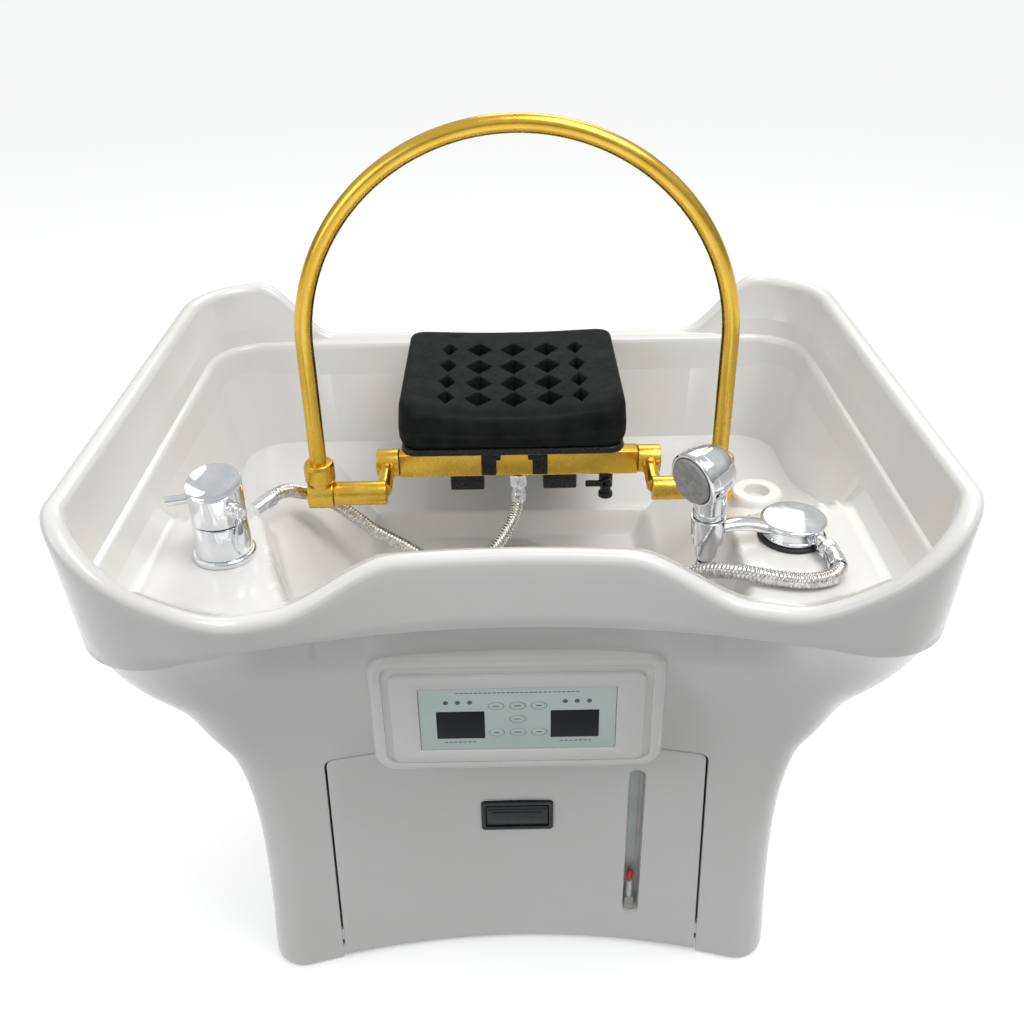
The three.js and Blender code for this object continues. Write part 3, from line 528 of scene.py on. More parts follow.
# ---- camera
def make_camera():
    data = bpy.data.cameras.new("camera")
    data.sensor_width = 36
    data.lens = 38.32
    camera = bpy.data.objects.new("camera", data)
    bpy.context.scene.collection.objects.link(camera)
    pitch = Matrix.Rotation(radians(59.16), 4, "X")
    roll = Matrix.Rotation(radians(-1), 4, "Z")
    camera.matrix_world = Matrix.Translation((0, -0.9865, 1.11)) @ pitch @ roll
    bpy.context.scene.camera = camera


# ---- hoses
HANDSET_HOSE = [
    (282, -199.4, 581.6), (281, -207, 580.6), (270, -218, 580), (249, -222, 580), (225, -217, 580),
    (196, -207, 580), (168, -191, 571), (140, -172, 546), (112, -150, 506), (84, -128, 467),
    (50, -108, 436), (16, -94, 429), (-2, -70, 429), (12, -44, 429), (48, -36, 429), (85, -48, 431),
    (118, -74, 442), (145, -104, 470), (163, -130, 506), (173, -146, 536), (176, -152, 557.5),
]
RING_HOSE = [
    (-240.4, -45, 567.9), (-233.5, -37, 569.8), (-226.5, -20, 563), (-220, -2, 551), (-213, 15, 539),
    (-197, 20, 529), (-178, 13, 520), (-146, -2, 503), (-107, -20, 489), (-70, -40, 472), (-42, -62, 454),
    (-40, -86, 437), (-76, -98, 429), (-108, -86, 429), (-113, -56, 430), (-98, -28, 432), (-60, -10, 445),
    (-28, 4, 463), (-8, 24, 480), (3, 42, 493), (7.3, 53.5, 506.5),
]
RIB_PITCH = 3.4
RIB_HEIGHT = 1.15
RIB_ROOT = 0.95     # how far the grooves lie inside the hose's nominal radius


def ribbed_radius(distance, angle):
    """A wound metal strip: a helix of rounded ribs."""
    turn = distance / RIB_PITCH + angle / (2 * pi)
    return HOSE - RIB_ROOT + abs(sin(pi * turn)) * RIB_HEIGHT


def make_hose(name, points, node):
    path = evenly(spline(points, 24), RIB_PITCH / 7)
    shape = sweep(path, ribbed_radius, sides=22)
    hose = piece(name, shape, HOSE_STEEL, nodes=[node], sharp=80)
    line = [point * MM for point in path[::6]]
    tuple(line[0])
    path_length(line)


# ---- plan outline of the mouldings
def plan_outline(half_width, back, front, bow, front_corner, back_corner, fine=8):
    """Straight sides and back, round corners and a front that bows inwards, from the front's middle."""
    bow_centre = front - bow
    corner_x = half_width - front_corner
    corner_y = bow_centre + sqrt((bow + front_corner) ** 2 - corner_x ** 2)
    reach = asin(corner_x / (bow + front_corner))
    half = []
    for k in range(8 * fine):
        angle = reach * k / (8 * fine)
        half.append((bow * sin(angle), bow_centre + bow * cos(angle)))
    for k in range(4 * fine):
        angle = (reach + pi / 2) * (k / (4 * fine) - 1)
        half.append((corner_x + front_corner * cos(angle), corner_y + front_corner * sin(angle)))
    for k in range(4 * fine):
        half.append((half_width, mix(corner_y, back - back_corner, k / (4 * fine))))
    for k in range(4 * fine):
        angle = pi / 2 * k / (4 * fine)
        half.append((half_width - back_corner * (1 - cos(angle)), back - back_corner * (1 - sin(angle))))
    for k in range(7 * fine):
        half.append(((half_width - back_corner) * (1 - (k / (7 * fine)) ** 1.5), back))
    mirrored = [(-x, y) for x, y in reversed(half[1:])]
    return [*half, (0, back), *mirrored]


def inset_outline(plan, inset):
    return plan_outline(
        half_width=plan.half_width - inset, back=plan.back - inset, front=plan.front + inset,
        bow=plan.bow + inset, front_corner=max(plan.front_corner - inset, 14),
        back_corner=max(plan.back_corner - inset, 45))


def rim_outline(inset):
    return inset_outline(RIM, inset)


# ---- tub
def rim_heights():
    outline = rim_outline(0)
    heights = []
    arc = 0
    for i in range(len(outline) // 2 + 1):
        x, y = outline[i]
        if i:
            arc += dist(outline[i], outline[i - 1])
        if y > RIM.back - 1:
            heights.append(mix(NECK_DIP, RIM_TOP, smooth(212, 298, abs(x))))
        else:
            dip = (FRONT_MIDDLE - FRONT_DIP) * smooth(95, 205, arc)
            heights.append(FRONT_MIDDLE - dip + (RIM_TOP - FRONT_DIP) * smooth(228, 408, arc))
    return heights + heights[len(outline) - len(heights):0:-1]


def inside_edge(x, y, start, end):
    (ax, ay), (bx, by) = start, end
    return ((bx - ax) * (y - ay) - (by - ay) * (x - ax)) / dist(start, end)


def deck_cover(x, y):
    left = min(inside_edge(x, y, (-199, -215), (-237, -98)), inside_edge(x, y, (-240, -82), (-330, -78)))
    right = min(inside_edge(x, y, (203, -100), (203, -215)), inside_edge(x, y, (320, -70), (230, -94)))
    return smooth(-12, 2, max(left, right))


def floor_height(x, y):
    """Height of the inside floor: a sump in a sloping bowl, side shelves and the two front decks."""
    sides = smooth(150, 240, abs(x))
    shelf = SHELF + 55 * smooth(150, -80, y)
    back_slope = (SHELF - BOWL) * smooth(115, 235, y)
    front_slope = 90 * smooth(-130, -200, y)
    bowl = BOWL + max(back_slope, front_slope, (shelf - BOWL) * sides)
    in_sump = smooth(162, 142, abs(x)) * smooth(130, 112, y) * smooth(-140, -120, y)
    open_floor = bowl - (BOWL - SUMP) * in_sump
    return mix(open_floor, DECK, deck_cover(x, y))


def make_tub():
    heights = rim_heights()
    lip = RIM_LIP / 2
    wall_start, wall_end = 28, 57

    def ring(inset, height):
        return [Vector((x, y, height(rim, x, y))) for (x, y), rim in zip(rim_outline(inset), heights)]

    def band_ring(inset, share=0.0):
        """A ring of the outer band, from its lower edge (share 0) up to the rounded lip (share 1)."""
        low = inset_outline(BAND, inset)
        high = rim_outline(inset)
        return [Vector((mix(a, c, share), mix(b, d, share), mix(BAND_BOTTOM + 1.4, rim - lip, share)))
                for (a, b), (c, d), rim in zip(low, high, heights)]

    def band_edge(inset):
        return [Vector((x, y, BAND_BOTTOM)) for x, y in inset_outline(BAND, inset)]

    def ledge(rim):
        return min(LEDGE, rim - 4)

    def wall(share):
        inset = mix(wall_start, wall_end, share)
        left = (1 - share) ** 2.5

        def height(rim, x, y):
            floor = floor_height(x, y)
            return floor + max(ledge(rim) - 3 - floor, 0) * left
        return inset, height

    def floor_ring(share, drop):
        result = []
        for x, y in rim_outline(wall_end):
            angle = atan2(y - DRAIN[1], x - DRAIN[0])
            px = mix(x, DRAIN[0] + DRAIN_RADIUS * cos(angle), share)
            py = mix(y, DRAIN[1] + DRAIN_RADIUS * sin(angle), share)
            result.append(Vector((px, py, floor_height(px, py) - drop)))
        return result

    rings = [band_edge(1.2)]
    rings += [band_ring(0, k / 5) for k in range(6)]
    for k in range(1, 12):
        angle = pi * k / 12
        inset, top = lip * (1 - cos(angle)), lip * (1 - sin(angle))
        rings.append(ring(inset, lambda rim, x, y: max(rim - top, floor_height(x, y) if inset > lip else 0)))
    rings.append(ring(RIM_LIP, lambda rim, x, y: max(rim - lip, ledge(rim) + 1.5, floor_height(x, y))))
    rings.append(ring(RIM_LIP + 0.4, lambda rim, x, y: max(ledge(rim) + 1.2, floor_height(x, y))))
    rings.append(ring(RIM_LIP + 1.6, lambda rim, x, y: max(ledge(rim), floor_height(x, y))))
    rings.append(ring(RIM_LIP + 6, lambda rim, x, y: max(ledge(rim) - 1.2, floor_height(x, y))))
    for share in (0, 0.02, 0.05, 0.09, 0.14, 0.2, 0.27, 0.35, 0.45, 0.58, 0.75):
        rings.append(ring(*wall(share)))
    steps = 96
    rings += [floor_ring(k / steps, 0) for k in range(steps + 1)]
    rings += [floor_ring(k / 24, 9) for k in range(24, -1, -1)]
    rings.append(ring(wall_start - WALL, lambda rim, x, y: max(ledge(rim), floor_height(x, y) + 3) - 7))
    rings.append(ring(RIM_LIP - WALL, lambda rim, x, y: max(rim - 15, ledge(rim) - 5)))
    rings.append(ring(WALL, lambda rim, x, y: max(rim - 15, ledge(rim) - 5)))
    rings.append(band_ring(WALL))
    rings.append(band_edge(WALL - 1.2))
    piece("tub", loft(rings, wrap=True), WHITE, nodes=["basin_tub"], sharp=60)


def make_overflow():
    boss = [(0, -24), (28, -24), (27, -3), (24.5, 0), (14, 0), (12.5, -1), (12.5, -12), (0, -12)]
    piece("overflow_boss", turned(boss, OVERFLOW, edge=1.6), WHITE, nodes=["overflow_ring"])
    piece("overflow_mouth", turned([(0, -11.8), (12.3, -11.8), (12.3, -11), (0, -11)], OVERFLOW), INNER_WHITE)


# ---- pedestal and door
PEDESTAL_SIDE = [
    (284, 4.3), (288, 12), (283.5, 90), (281, 190), (285, 262), (297, 316), (318, 356), (337, 405),
    (364, 450), (373, 490), (369.6, 535), (369.5, 546),
]
WAIST = 281
SHOULDER = 369.5
COVE_START = 300
COVE_DEPTH = 95
FRONT_FACE = -125.5
BACK_AT_WAIST = 225
BACK_FLARE = 56.8


def front_line(z):
    cove = min(max(z - COVE_START, 0) / (BAND_BOTTOM - COVE_START), 1)
    return FRONT_FACE - COVE_DEPTH * cove ** 2


def front_skin(x, z):
    """Y of the pedestal's front skin."""
    bow = BAND.bow + WALL
    return front_line(z) - bow + sqrt(bow ** 2 - x ** 2)


def pedestal_ring(half_width, z, inset):
    flare = (half_width - WAIST) / (SHOULDER - WAIST)
    outline = plan_outline(
        half_width=half_width - inset, back=BACK_AT_WAIST + BACK_FLARE * flare - inset,
        front=front_line(z) + inset, bow=BAND.bow + WALL + inset,
        front_corner=32 + 28 * flare - inset, back_corner=60 + 20 * flare - inset, fine=4)
    return [Vector((x, y, z)) for x, y in outline]


def door_outline(inset, steps=40):
    half_top, half_bottom = DOOR.half_top - inset, DOOR.half_bottom - inset
    bottom, top = DOOR.bottom + inset, DOOR.top - inset
    radius = max(10 - inset, 1)
    outline = [(mix(-half_bottom, half_bottom, k / steps), bottom) for k in range(steps)]
    outline += [(mix(half_bottom, half_top, k / steps), mix(bottom, top - radius, k / steps))
                for k in range(steps)]
    turns = [pi / 2 * k / 8 for k in range(9)]
    outline += [(half_top - radius * (1 - cos(a)), top - radius * (1 - sin(a))) for a in turns]
    straight = half_top - radius
    for k in range(1, steps):
        x = mix(straight, -straight, k / steps)
        outline.append((x, top + 2 * (1 - (x / straight) ** 2)))
    outline += [(-half_top + radius * (1 - sin(a)), top - radius * (1 - cos(a))) for a in turns]
    outline += [(mix(-half_top, -half_bottom, k / steps), mix(top - radius, bottom, k / steps))
                for k in range(1, steps)]
    return outline


def door_prism():
    rings = [[Vector((x, y, z)) for x, z in door_outline(0)] for y in (-190, -60)]
    return loft(rings, caps=True)


def make_pedestal():
    sections = spline([(*pair, 0) for pair in PEDESTAL_SIDE], 7)
    outer = [pedestal_ring(s.x, s.y, 0) for s in sections]
    inner = [pedestal_ring(s.x, s.y, WALL) for s in reversed(sections)]
    shell = new_object("pedestal", loft(outer + inner, wrap=True))
    subtract(shell, door_prism())
    settle(shell, WHITE, nodes=["pedestal_shell"])
    for side in (-1, 1):
        jamb = block((side * 216 - 6, -149, 6), (side * 216 + 6, -130, 34))
        piece(f"door_jamb_{side_name(side)}", jamb, WHITE)


def make_panel_boss():
    width, height, face = PANEL.width, PANEL.height, PANEL.face
    rings = []
    round_edge = 9
    steps = [(-3, -118), (-2, -150), (0, face + 14)]
    steps += [(round_edge * (1 - cos(a)), face + round_edge * (1 - sin(a)))
              for a in (pi / 2 * k / 7 for k in range(8))]
    steps += [(12.4, face + 0.1), (13.0, face + 0.6), (13.0, face + 4)]
    for inset, y in steps:
        outline = rounded_rectangle(width - 2 * inset, height - 2 * inset, max(22 - inset, 7.4), 12)
        rings.append([Vector((PANEL.x + u, y, PANEL.z + v)) for u, v in outline])
    piece("panel_boss", loft(rings, caps=True), WHITE)


def make_door():
    rings = []
    gap = DOOR.gap
    middle = (0, 160)

    def ring(inset, depth, share=0.0):
        points = [(mix(x, middle[0], share), mix(z, middle[1], share)) for x, z in door_outline(gap + inset)]
        return [Vector((x, front_skin(x, z) + depth, z)) for x, z in points]

    rings += [ring(2, WALL, k / 12) for k in range(11, -1, -1)]
    rings += [ring(0, WALL), ring(0, 1.8), ring(0.25, 0.9), ring(0.9, 0.25), ring(1.8, 0)]
    rings += [ring(1.8, 0, k / 24) for k in range(1, 24)]
    door = new_object("door", loft(rings, caps=True))
    slot = plate(SLOT.x, (SLOT.bottom + SLOT.top) / 2, SLOT.width, SLOT.top - SLOT.bottom,
                 SLOT.width / 2 - 0.01, -200, -100)
    pull = plate(0, LATCH.z, LATCH.width - 4, LATCH.height - 4, 2, -200, -100)
    subtract(door, slot, pull)
    settle(door, WHITE, "door", nodes=["front_door"])
    for side in (-1, 1):
        pin = rod((side * 190, -140, 18), (side * 213, -140, 18), 2.6)
        piece(f"door_pin_{side_name(side)}", pin, WHITE, "door")


def make_latch():
    width, height, z = LATCH.width, LATCH.height, LATCH.z
    bezel = frame_plate(0, z, (width, height, 4), (width - 10, height - 10, 2),
                        LATCH_FACE - 2.2, LATCH_FACE + 18, 1)
    back = plate(0, z, width - 8, height - 8, 2, LATCH_FACE + 17, LATCH_FACE + 20)
    piece("latch_frame", merged(bezel, back), BLACK, "door", nodes=["latch_bezel"])
    half = width / 2 - 5.6
    paddle = plate(0, z - 1.1, 2 * half, 28.6, 2, LATCH_FACE - 0.6, LATCH_FACE + 2.4, 0.7)
    ridge = rod((-half + 2, LATCH_FACE - 0.4, z + 8.5), (half - 2, LATCH_FACE - 0.4, z + 8.5), 0.9)
    shade = plate(0, z - 3, 2 * half - 12, 16, 2, LATCH_FACE - 1.3, LATCH_FACE + 1, 0.5)
    hinge = rod((-half, -125, z + 12), (half, -125, z + 12), 1.2)
    grip = block((-half + 8, LATCH_FACE + 2, z - 8), (half - 8, LATCH_FACE + 8, z - 4))
    piece("latch_flap", merged(paddle, ridge, shade, hinge, grip), BLACK, "door_pull", nodes=["latch_paddle"])


# ---- control panel
def dash_row(name, x, z, length, each_side):
    """A printed row of dashes, 1 mm apart."""
    dashes = [plate(x + k * (length + 1), z, length, 1.1, 0.4, PANEL.face + 0.8, PANEL.face + 1.3, 0.1)
              for k in range(-each_side, each_side + 1)]
    piece(name, merged(*dashes), INK)


def make_panel():
    x, z, face = PANEL.x, LABEL.z, PANEL.face
    bezel = frame_plate(x, z, (243.2, 107.2, 7.6), (LABEL.width + 0.8, LABEL.height + 0.8, 2),
                        face - 0.6, face + 3.7, 1.2)
    piece("panel_bezel_visual", bezel, WHITE, nodes=["panel_bezel"])
    film = plate(x, z, LABEL.width, LABEL.height, 1.6, face + 0.9, face + 3, 0.3)
    piece("panel_film", film, LABEL_FILM, nodes=["label_plate"])
    for side, node in [(-1, "display_left"), (1, "display_right")]:
        window = plate(x + side * DISPLAY.x, z + DISPLAY.z, DISPLAY.width, DISPLAY.height, 1,
                       face + 0.6, face + 1.4, 0.3)
        piece(f"{node}_window", window, SCREEN, nodes=[node])
        lamps = [rod((lamp, face + 0.8, z + 21), (lamp, face + 1.5, z + 21), 2.5, 0.2)
                 for lamp in (x + side * 57 + k * 11.5 for k in (-1, 0, 1))]
        piece(f"lamps_{side_name(side)}", merged(*lamps), INK)
        dash_row(f"rule_{side_name(side)}", x + side * 56, z - 28.6, 3.6, 3)
    dash_row("rule_top", x, z + 32.5, 3.4, 13)
    make_keys()


def make_keys():
    places = [(-1, 1), (0, 1), (1, 1), (0, 0), (-1, -1), (0, -1), (1, -1)]
    dome = [(1, 0.9), (1, 0.3), (0.97, 0.06), (0.92, 0)]
    outline = [(0.9, -0.03), (0.97, 0.03), (0.97, 0.07), (0.9, 0.07)]
    front = PANEL.face + 0.4
    for number, (column, row) in enumerate(places, 1):
        x, z = PANEL.x + column * KEY_STEP[0], LABEL.z + row * KEY_STEP[1]
        node = f"key_{number}"

        def rings(steps):
            return [[Vector((x + u * grow, front + depth, z + v * grow)) for u, v in ellipse(8, 5)]
                    for grow, depth in steps]

        piece(f"{node}_dome", loft(rings(dome), caps=True), LABEL_FILM, f"{node}_body", [node])
        mark = plate(x, z, 7 - 2 * abs(column), 0.8 + 0.4 * abs(row), 0.3, front - 0.05, front + 0.07, 0.05)
        printed = merged(loft(rings(outline), wrap=True), mark)
        piece(f"{node}_print", printed, INK, f"{node}_body")


# ---- left mixer
def make_mixer():
    x, y = MIXER
    base = turned([(0, 0), (28.5, 0), (28.5, 4), (26.8, 6), (0, 6)], (x, y, DECK + 0.3), edge=1.1)
    piece("mixer_flange", base, CHROME, nodes=["mixer_base"])
    barrel = turned([(0, 6.3), (26, 6.3), (25.4, 20), (24, 37.4), (0, 37.4)], (x, y, DECK), edge=1.4)
    drop = [(0, 0), (5, 3), (8.4, 10), (8.6, 16), (6, 27), (2.6, 36), (0, 38)]
    spout = turned(drop, (x + 20, y - 15, DECK + 7), (0.06, 0.02, 1), edge=3, sides=40)
    piece("mixer_barrel", merged(barrel, spout), CHROME, nodes=["mixer_body"])
    make_mixer_cap(x, y)


def make_mixer_cap(x, y):
    tilt = tan(0.26)
    rings = []
    low = DECK + 38.3
    sides = 72
    steps = [(0, low, 0), (23.6, low, 0), (24.8, low + 1, 0), (25, low + 4, 0)]
    steps += [(25, DECK + 72.5, 0.9), (25, DECK + 73.4, 1), (24.6, DECK + 73.9, 1), (24, DECK + 74, 1)]
    dish = [24 * (1 - k / 12) for k in range(1, 13)]
    steps += [(r, DECK + 74 - 7.5 * (1 - (r / 24) ** 2), 1) for r in dish]
    for radius, height, slope in steps:
        ring = []
        for k in range(sides):
            angle = 2 * pi * k / sides
            dx, dy = radius * cos(angle), radius * sin(angle)
            ring.append(Vector((x + dx, y + dy, height + slope * tilt * dy)))
        rings.append(ring)
    left_pin = rod((x - 20, y - 2, DECK + 60), (x - 43, y - 8, DECK + 60), 4.5, 1)
    right_pin = rod((x + 14, y - 14, DECK + 56), (x + 28, y - 24, DECK + 56), 5, 1)
    collar = rod((x + 12, y - 13, DECK + 56.5), (x + 23, y - 20.5, DECK + 56.5), 7, 1.6)
    piece("mixer_head", merged(loft(rings), left_pin, right_pin, collar), CHROME, "mixer_top", ["mixer_cap"])


# ---- right diverter, cradle and hand shower
def make_diverter():
    x, y = DIVERTER
    seal = turned([(0, 0.3), (31, 0.3), (31, 3), (29, 4.2), (0, 4.2)], (x, y, DECK), edge=0.9)
    piece("diverter_gasket", seal, RUBBER, nodes=["diverter_seal"])
    body = turned([(0, 4.5), (28, 4.5), (28, 7), (26.5, 8), (26.5, 16), (0, 16)], (x, y, DECK), edge=0.8)
    outlet = rod((x + 14, y - 18, DECK + 10), (x + 20.6, y - 33, DECK + 10.2), 7, 1)
    piece("diverter_barrel", merged(body, outlet), CHROME, nodes=["diverter_body"])
    cap = turned([(0, 16.3), (28, 16.3), (30, 18), (30, 20), (27, 21.4), (0, 22)], (x, y, DECK), edge=1)
    piece("diverter_disc", cap, CHROME, "diverter_top", ["diverter_cap"])
    path = spline([(x + 21.4, y - 35.2, DECK + 10.5), (x + 24, y - 43, DECK + 10.5),
                   (x + 25.4, y - 52, DECK + 10.3), (x + 25, y - 60, DECK + 10)], 8)
    elbow = sweep(path, lambda distance, angle: 7.6, 32)
    collar = nut(path[1], path[9], 10)
    ferrule = turned([(7, 0), (8.6, 0), (8.6, 11), (7.4, 12.5), (7, 0)], path[-7], path[-1] - path[-5], 0.6)
    piece("diverter_bend", merged(elbow, collar, ferrule), CHROME, nodes=["diverter_elbow"])


def make_cradle():
    x, y = CRADLE
    socket = turned([(12, 0), (14.4, 0), (16, 26), (13.4, 26), (12, 0)], (x, y, 578), edge=0.9)
    route = [(x + 12, y + 1, 592), (x + 26, y + 5, 592), (x + 42, y + 8, 590), (x + 58, y + 8, 586)]
    path = spline(route, 12)
    arm = sweep(path, lambda distance, angle: 8.2 + 0.03 * distance, 32, flatness=0.62)
    piece("cradle_bracket", merged(socket, arm), CHROME, nodes=["handset_cradle"])


HEAD = Vector((CRADLE[0] - 8, CRADLE[1] - 2, 648))
HEAD_WAY = Vector((-0.8, -0.58, -0.15)).normalized()


def make_handset():
    x, y = CRADLE
    drum = [(0, -26), (12, -25), (20.5, -19.5), (24.5, -9), (26, 2), (26, 13.4), (24.2, 15), (22.6, 15),
            (21.6, 13), (0, 13)]
    head = turned(drum, HEAD, HEAD_WAY, edge=2.6)
    band = turned([(25.4, 4), (26.3, 4.6), (26.3, 5.6), (25.4, 6.2), (25.4, 4)], HEAD, HEAD_WAY, edge=0.3)
    path = spline([(x, y, 604), (x, y, 616), (x - 2, y - 0.5, 630), (x - 5, y - 1, 644)], 8)
    neck = sweep(path, lambda distance, angle: 13.2 + 0.12 * distance, 40)
    profile = [(0, 560), (8.4, 560), (10, 566), (11.2, 580), (11.6, 603), (14.6, 606), (14.6, 611),
               (13, 613), (0, 613)]
    handle = turned(profile, (x, y, 0), edge=1)
    piece("shower_body", merged(head, band, neck, handle), CHROME, "handset", ["handset_body"])
    plate_profile = [(0, 13.4), (21.4, 13.4), (21.8, 16), (20.5, 17.6), (12, 18.3), (0, 18.6)]
    face = turned(plate_profile, HEAD, HEAD_WAY, edge=0.8)
    jets = []
    across = HEAD_WAY.cross(Vector((0, 0, 1))).normalized()
    upward = across.cross(HEAD_WAY)
    for ring, count in [(0, 1), (5, 6), (10, 12), (15.2, 18)]:
        for k in range(count):
            angle = 2 * pi * k / count
            centre = HEAD + (across * cos(angle) + upward * sin(angle)) * ring
            jets.append(rod(centre + HEAD_WAY * 17, centre + HEAD_WAY * (19 - ring * 0.04), 0.9, 0.3, 12))
    piece("shower_face", merged(face, *jets), GREY_FACE, "handset", ["handset_face"])


# ---- fittings on the ring hose
def make_ferrule():
    start, end = Vector(RING_HOSE[0]), Vector(RING_HOSE[1])
    way = (start - end).normalized()
    tail = start + way
    profile = [(0, -4), (8.2, -4), (8.2, 9), (7.4, 10), (7.4, 20), (0, 20)]
    piece("ferrule", turned(profile, tail, way, 0.8), CHROME, nodes=["hose_ferrule"])


def make_inlet():
    x, y = 7.3, BAR.y
    collar = nut((x, y, 524), (x, y, 539), 10.5)
    profile = [(0, 505), (8.3, 505), (8.3, 515), (7.2, 517), (7.2, 523), (9, 525), (0, 525)]
    sleeve = turned(profile, (x, y, 0), edge=0.8)
    piece("inlet_nut", merged(collar, sleeve), CHROME, nodes=["inlet_coupling"])


def make_valve():
    y = BAR.y
    profile = [(0, 513), (6, 513), (6, 520), (7.5, 521), (7.5, 537), (6, 539.7), (0, 539.7)]
    body = turned(profile, (103, y, 0), edge=0.8)
    knob = rod((103, y, 508), (103, y, 514), 8, 1.6)
    piece("valve_stem", merged(body, knob), BLACK, nodes=["valve_body"])
    hub = rod((103, y - 7.9, 530), (103, y - 13, 530), 5.5, 1)
    lever = block((80, y - 13, 526.5), (103, y - 9, 533.5), 1.2)
    piece("valve_handle_lever", merged(hub, lever), BLACK, "valve_handle", ["valve_lever"])


# ---- gold bar, arms and arch
def make_bar():
    rings = []
    for inset, x in rounded_ends(-BAR.half, BAR.half, 1):
        outline = rounded_rectangle(BAR.depth - 2 * inset, BAR.height - 2 * inset, 2.6)
        rings.append([Vector((GOLD_X + x, BAR.y + u, BAR.z + v)) for u, v in outline])
    piece("bar", loft(rings, caps=True), GOLD, nodes=["crossbar"])


def make_arm(side):
    name = side_name(side)
    y, z = ARM.y, ARM.z
    inner = GOLD_X + side * (BAR.half + 0.3)
    outer = inner + side * ARM.width
    middle = (inner + outer) / 2
    knuckle = rod((inner, BAR.y, BAR.z), (outer, BAR.y, BAR.z), ARM.knuckle, 1.1, 64)
    cap = rod((outer - side * 1, BAR.y, BAR.z), (outer + side * 0.6, BAR.y, BAR.z), 9, 0.5, 48)
    link = rod((middle, BAR.y - 8, BAR.z), (middle, y + 4, z), ARM.rod, 0.8)
    screw = rod((middle, BAR.y - 20, BAR.z + 3), (middle, BAR.y - 20, BAR.z + 9.2), 3, 0.6, 24)
    bar_start = (GOLD_X + side * (BAR.half + 9), y, z)
    bar_end = (GOLD_X + side * (ARCH.radius - 13.3), y, z)
    arm = merged(knuckle, cap, link, screw, rod(bar_start, bar_end, 12.5, 1, 64))
    piece(f"arm_{name}_visual", arm, GOLD, f"swing_arm_{name}", [f"arm_{name}"])


def make_block(side):
    name = side_name(side)
    x, y, z = GOLD_X + side * ARCH.radius, ARM.y, ARM.z
    barrel = rod((x - 13, y, z), (x + 13, y, z), 15, 1.1, 64)
    neck = turned([(0, z), (11, z), (11, 567.5), (0, 567.5)], (x, y, 0), edge=0.8)
    collar = [(0, 567), (14.8, 567), (15.6, 568.4), (15.6, 584), (14, 588), (9.4, 588.2), (0, 588.2)]
    piece(f"arch_socket_{name}", merged(barrel, neck, turned(collar, (x, y, 0), edge=1)), GOLD, "arch",
          [f"arch_block_{name}"])


def make_arch():
    radius, springing = ARCH.radius, ARCH.springing
    left = [Vector((GOLD_X - radius, ARM.y, mix(ARCH.foot - 6, springing, k / 10))) for k in range(10)]
    bend = [Vector((GOLD_X - radius * cos(pi * k / 96), ARM.y,
                    springing + radius * sin(pi * k / 96))) for k in range(97)]
    right = [Vector((2 * GOLD_X - p.x, p.y, p.z)) for p in reversed(left)]
    tube = sweep(left + bend + right, lambda distance, angle: ARCH.tube, 40, side=(0, 1, 0))
    piece("arch_pipe", tube, GOLD, "arch", ["arch_tube"])


# ---- headrest
HOLE_ROWS = (182, 140, 101, 64)
HOLE_COLUMNS = (-68, -34, 4, 42, 75)


def hole_depth(x, y):
    """How deep the pierced diamonds cut at a point of the cushion's top, in millimetres."""
    depth = 0
    for column in HOLE_COLUMNS:
        outer = abs(column - REST.x) > 50
        half_x, half_y = (8, 14) if outer else (13.4, 15.6)
        for row in HOLE_ROWS:
            away = abs(x - column) / half_x + abs(y - row) / half_y - 1
            depth = max(depth, 17 * smooth(0.8, -1.1, away * half_x * half_y / hypot(half_x, half_y)))
    return depth


def stud_height(x, y):
    height = 0
    for a, b in zip(HOLE_COLUMNS, HOLE_COLUMNS[1:]):
        for c, d in zip(HOLE_ROWS, HOLE_ROWS[1:]):
            height += 1.1 * exp(-((x - (a + b) / 2) ** 2 + (y - (c + d) / 2) ** 2) / 3.2)
    return height


def cushion_top(x, y):
    """The cushion's crown: higher along the two sides and falling at the front and back."""
    across = (x - REST.x) / REST.half
    front = smooth(58, 25, y)
    back = smooth(REST.back - 28, REST.back, y)
    hollow = mix(13, 4, smooth(50, 215, y)) * (1 - across ** 2)
    return REST.high - hollow - 7 * front ** 2 - 2 * back ** 2


def squared_corner(x, y, half_x, half_y, radius):
    """Moves a point of a rectangle so that its corners become round."""
    over_x, over_y = abs(x) - (half_x - radius), abs(y) - (half_y - radius)
    if over_x <= 0 or over_y <= 0:
        return x, y
    a, b = over_x / radius, over_y / radius
    round_x = half_x - radius + radius * a * sqrt(1 - b * b / 2)
    round_y = half_y - radius + radius * b * sqrt(1 - a * a / 2)
    return copysign(round_x, x), copysign(round_y, y)


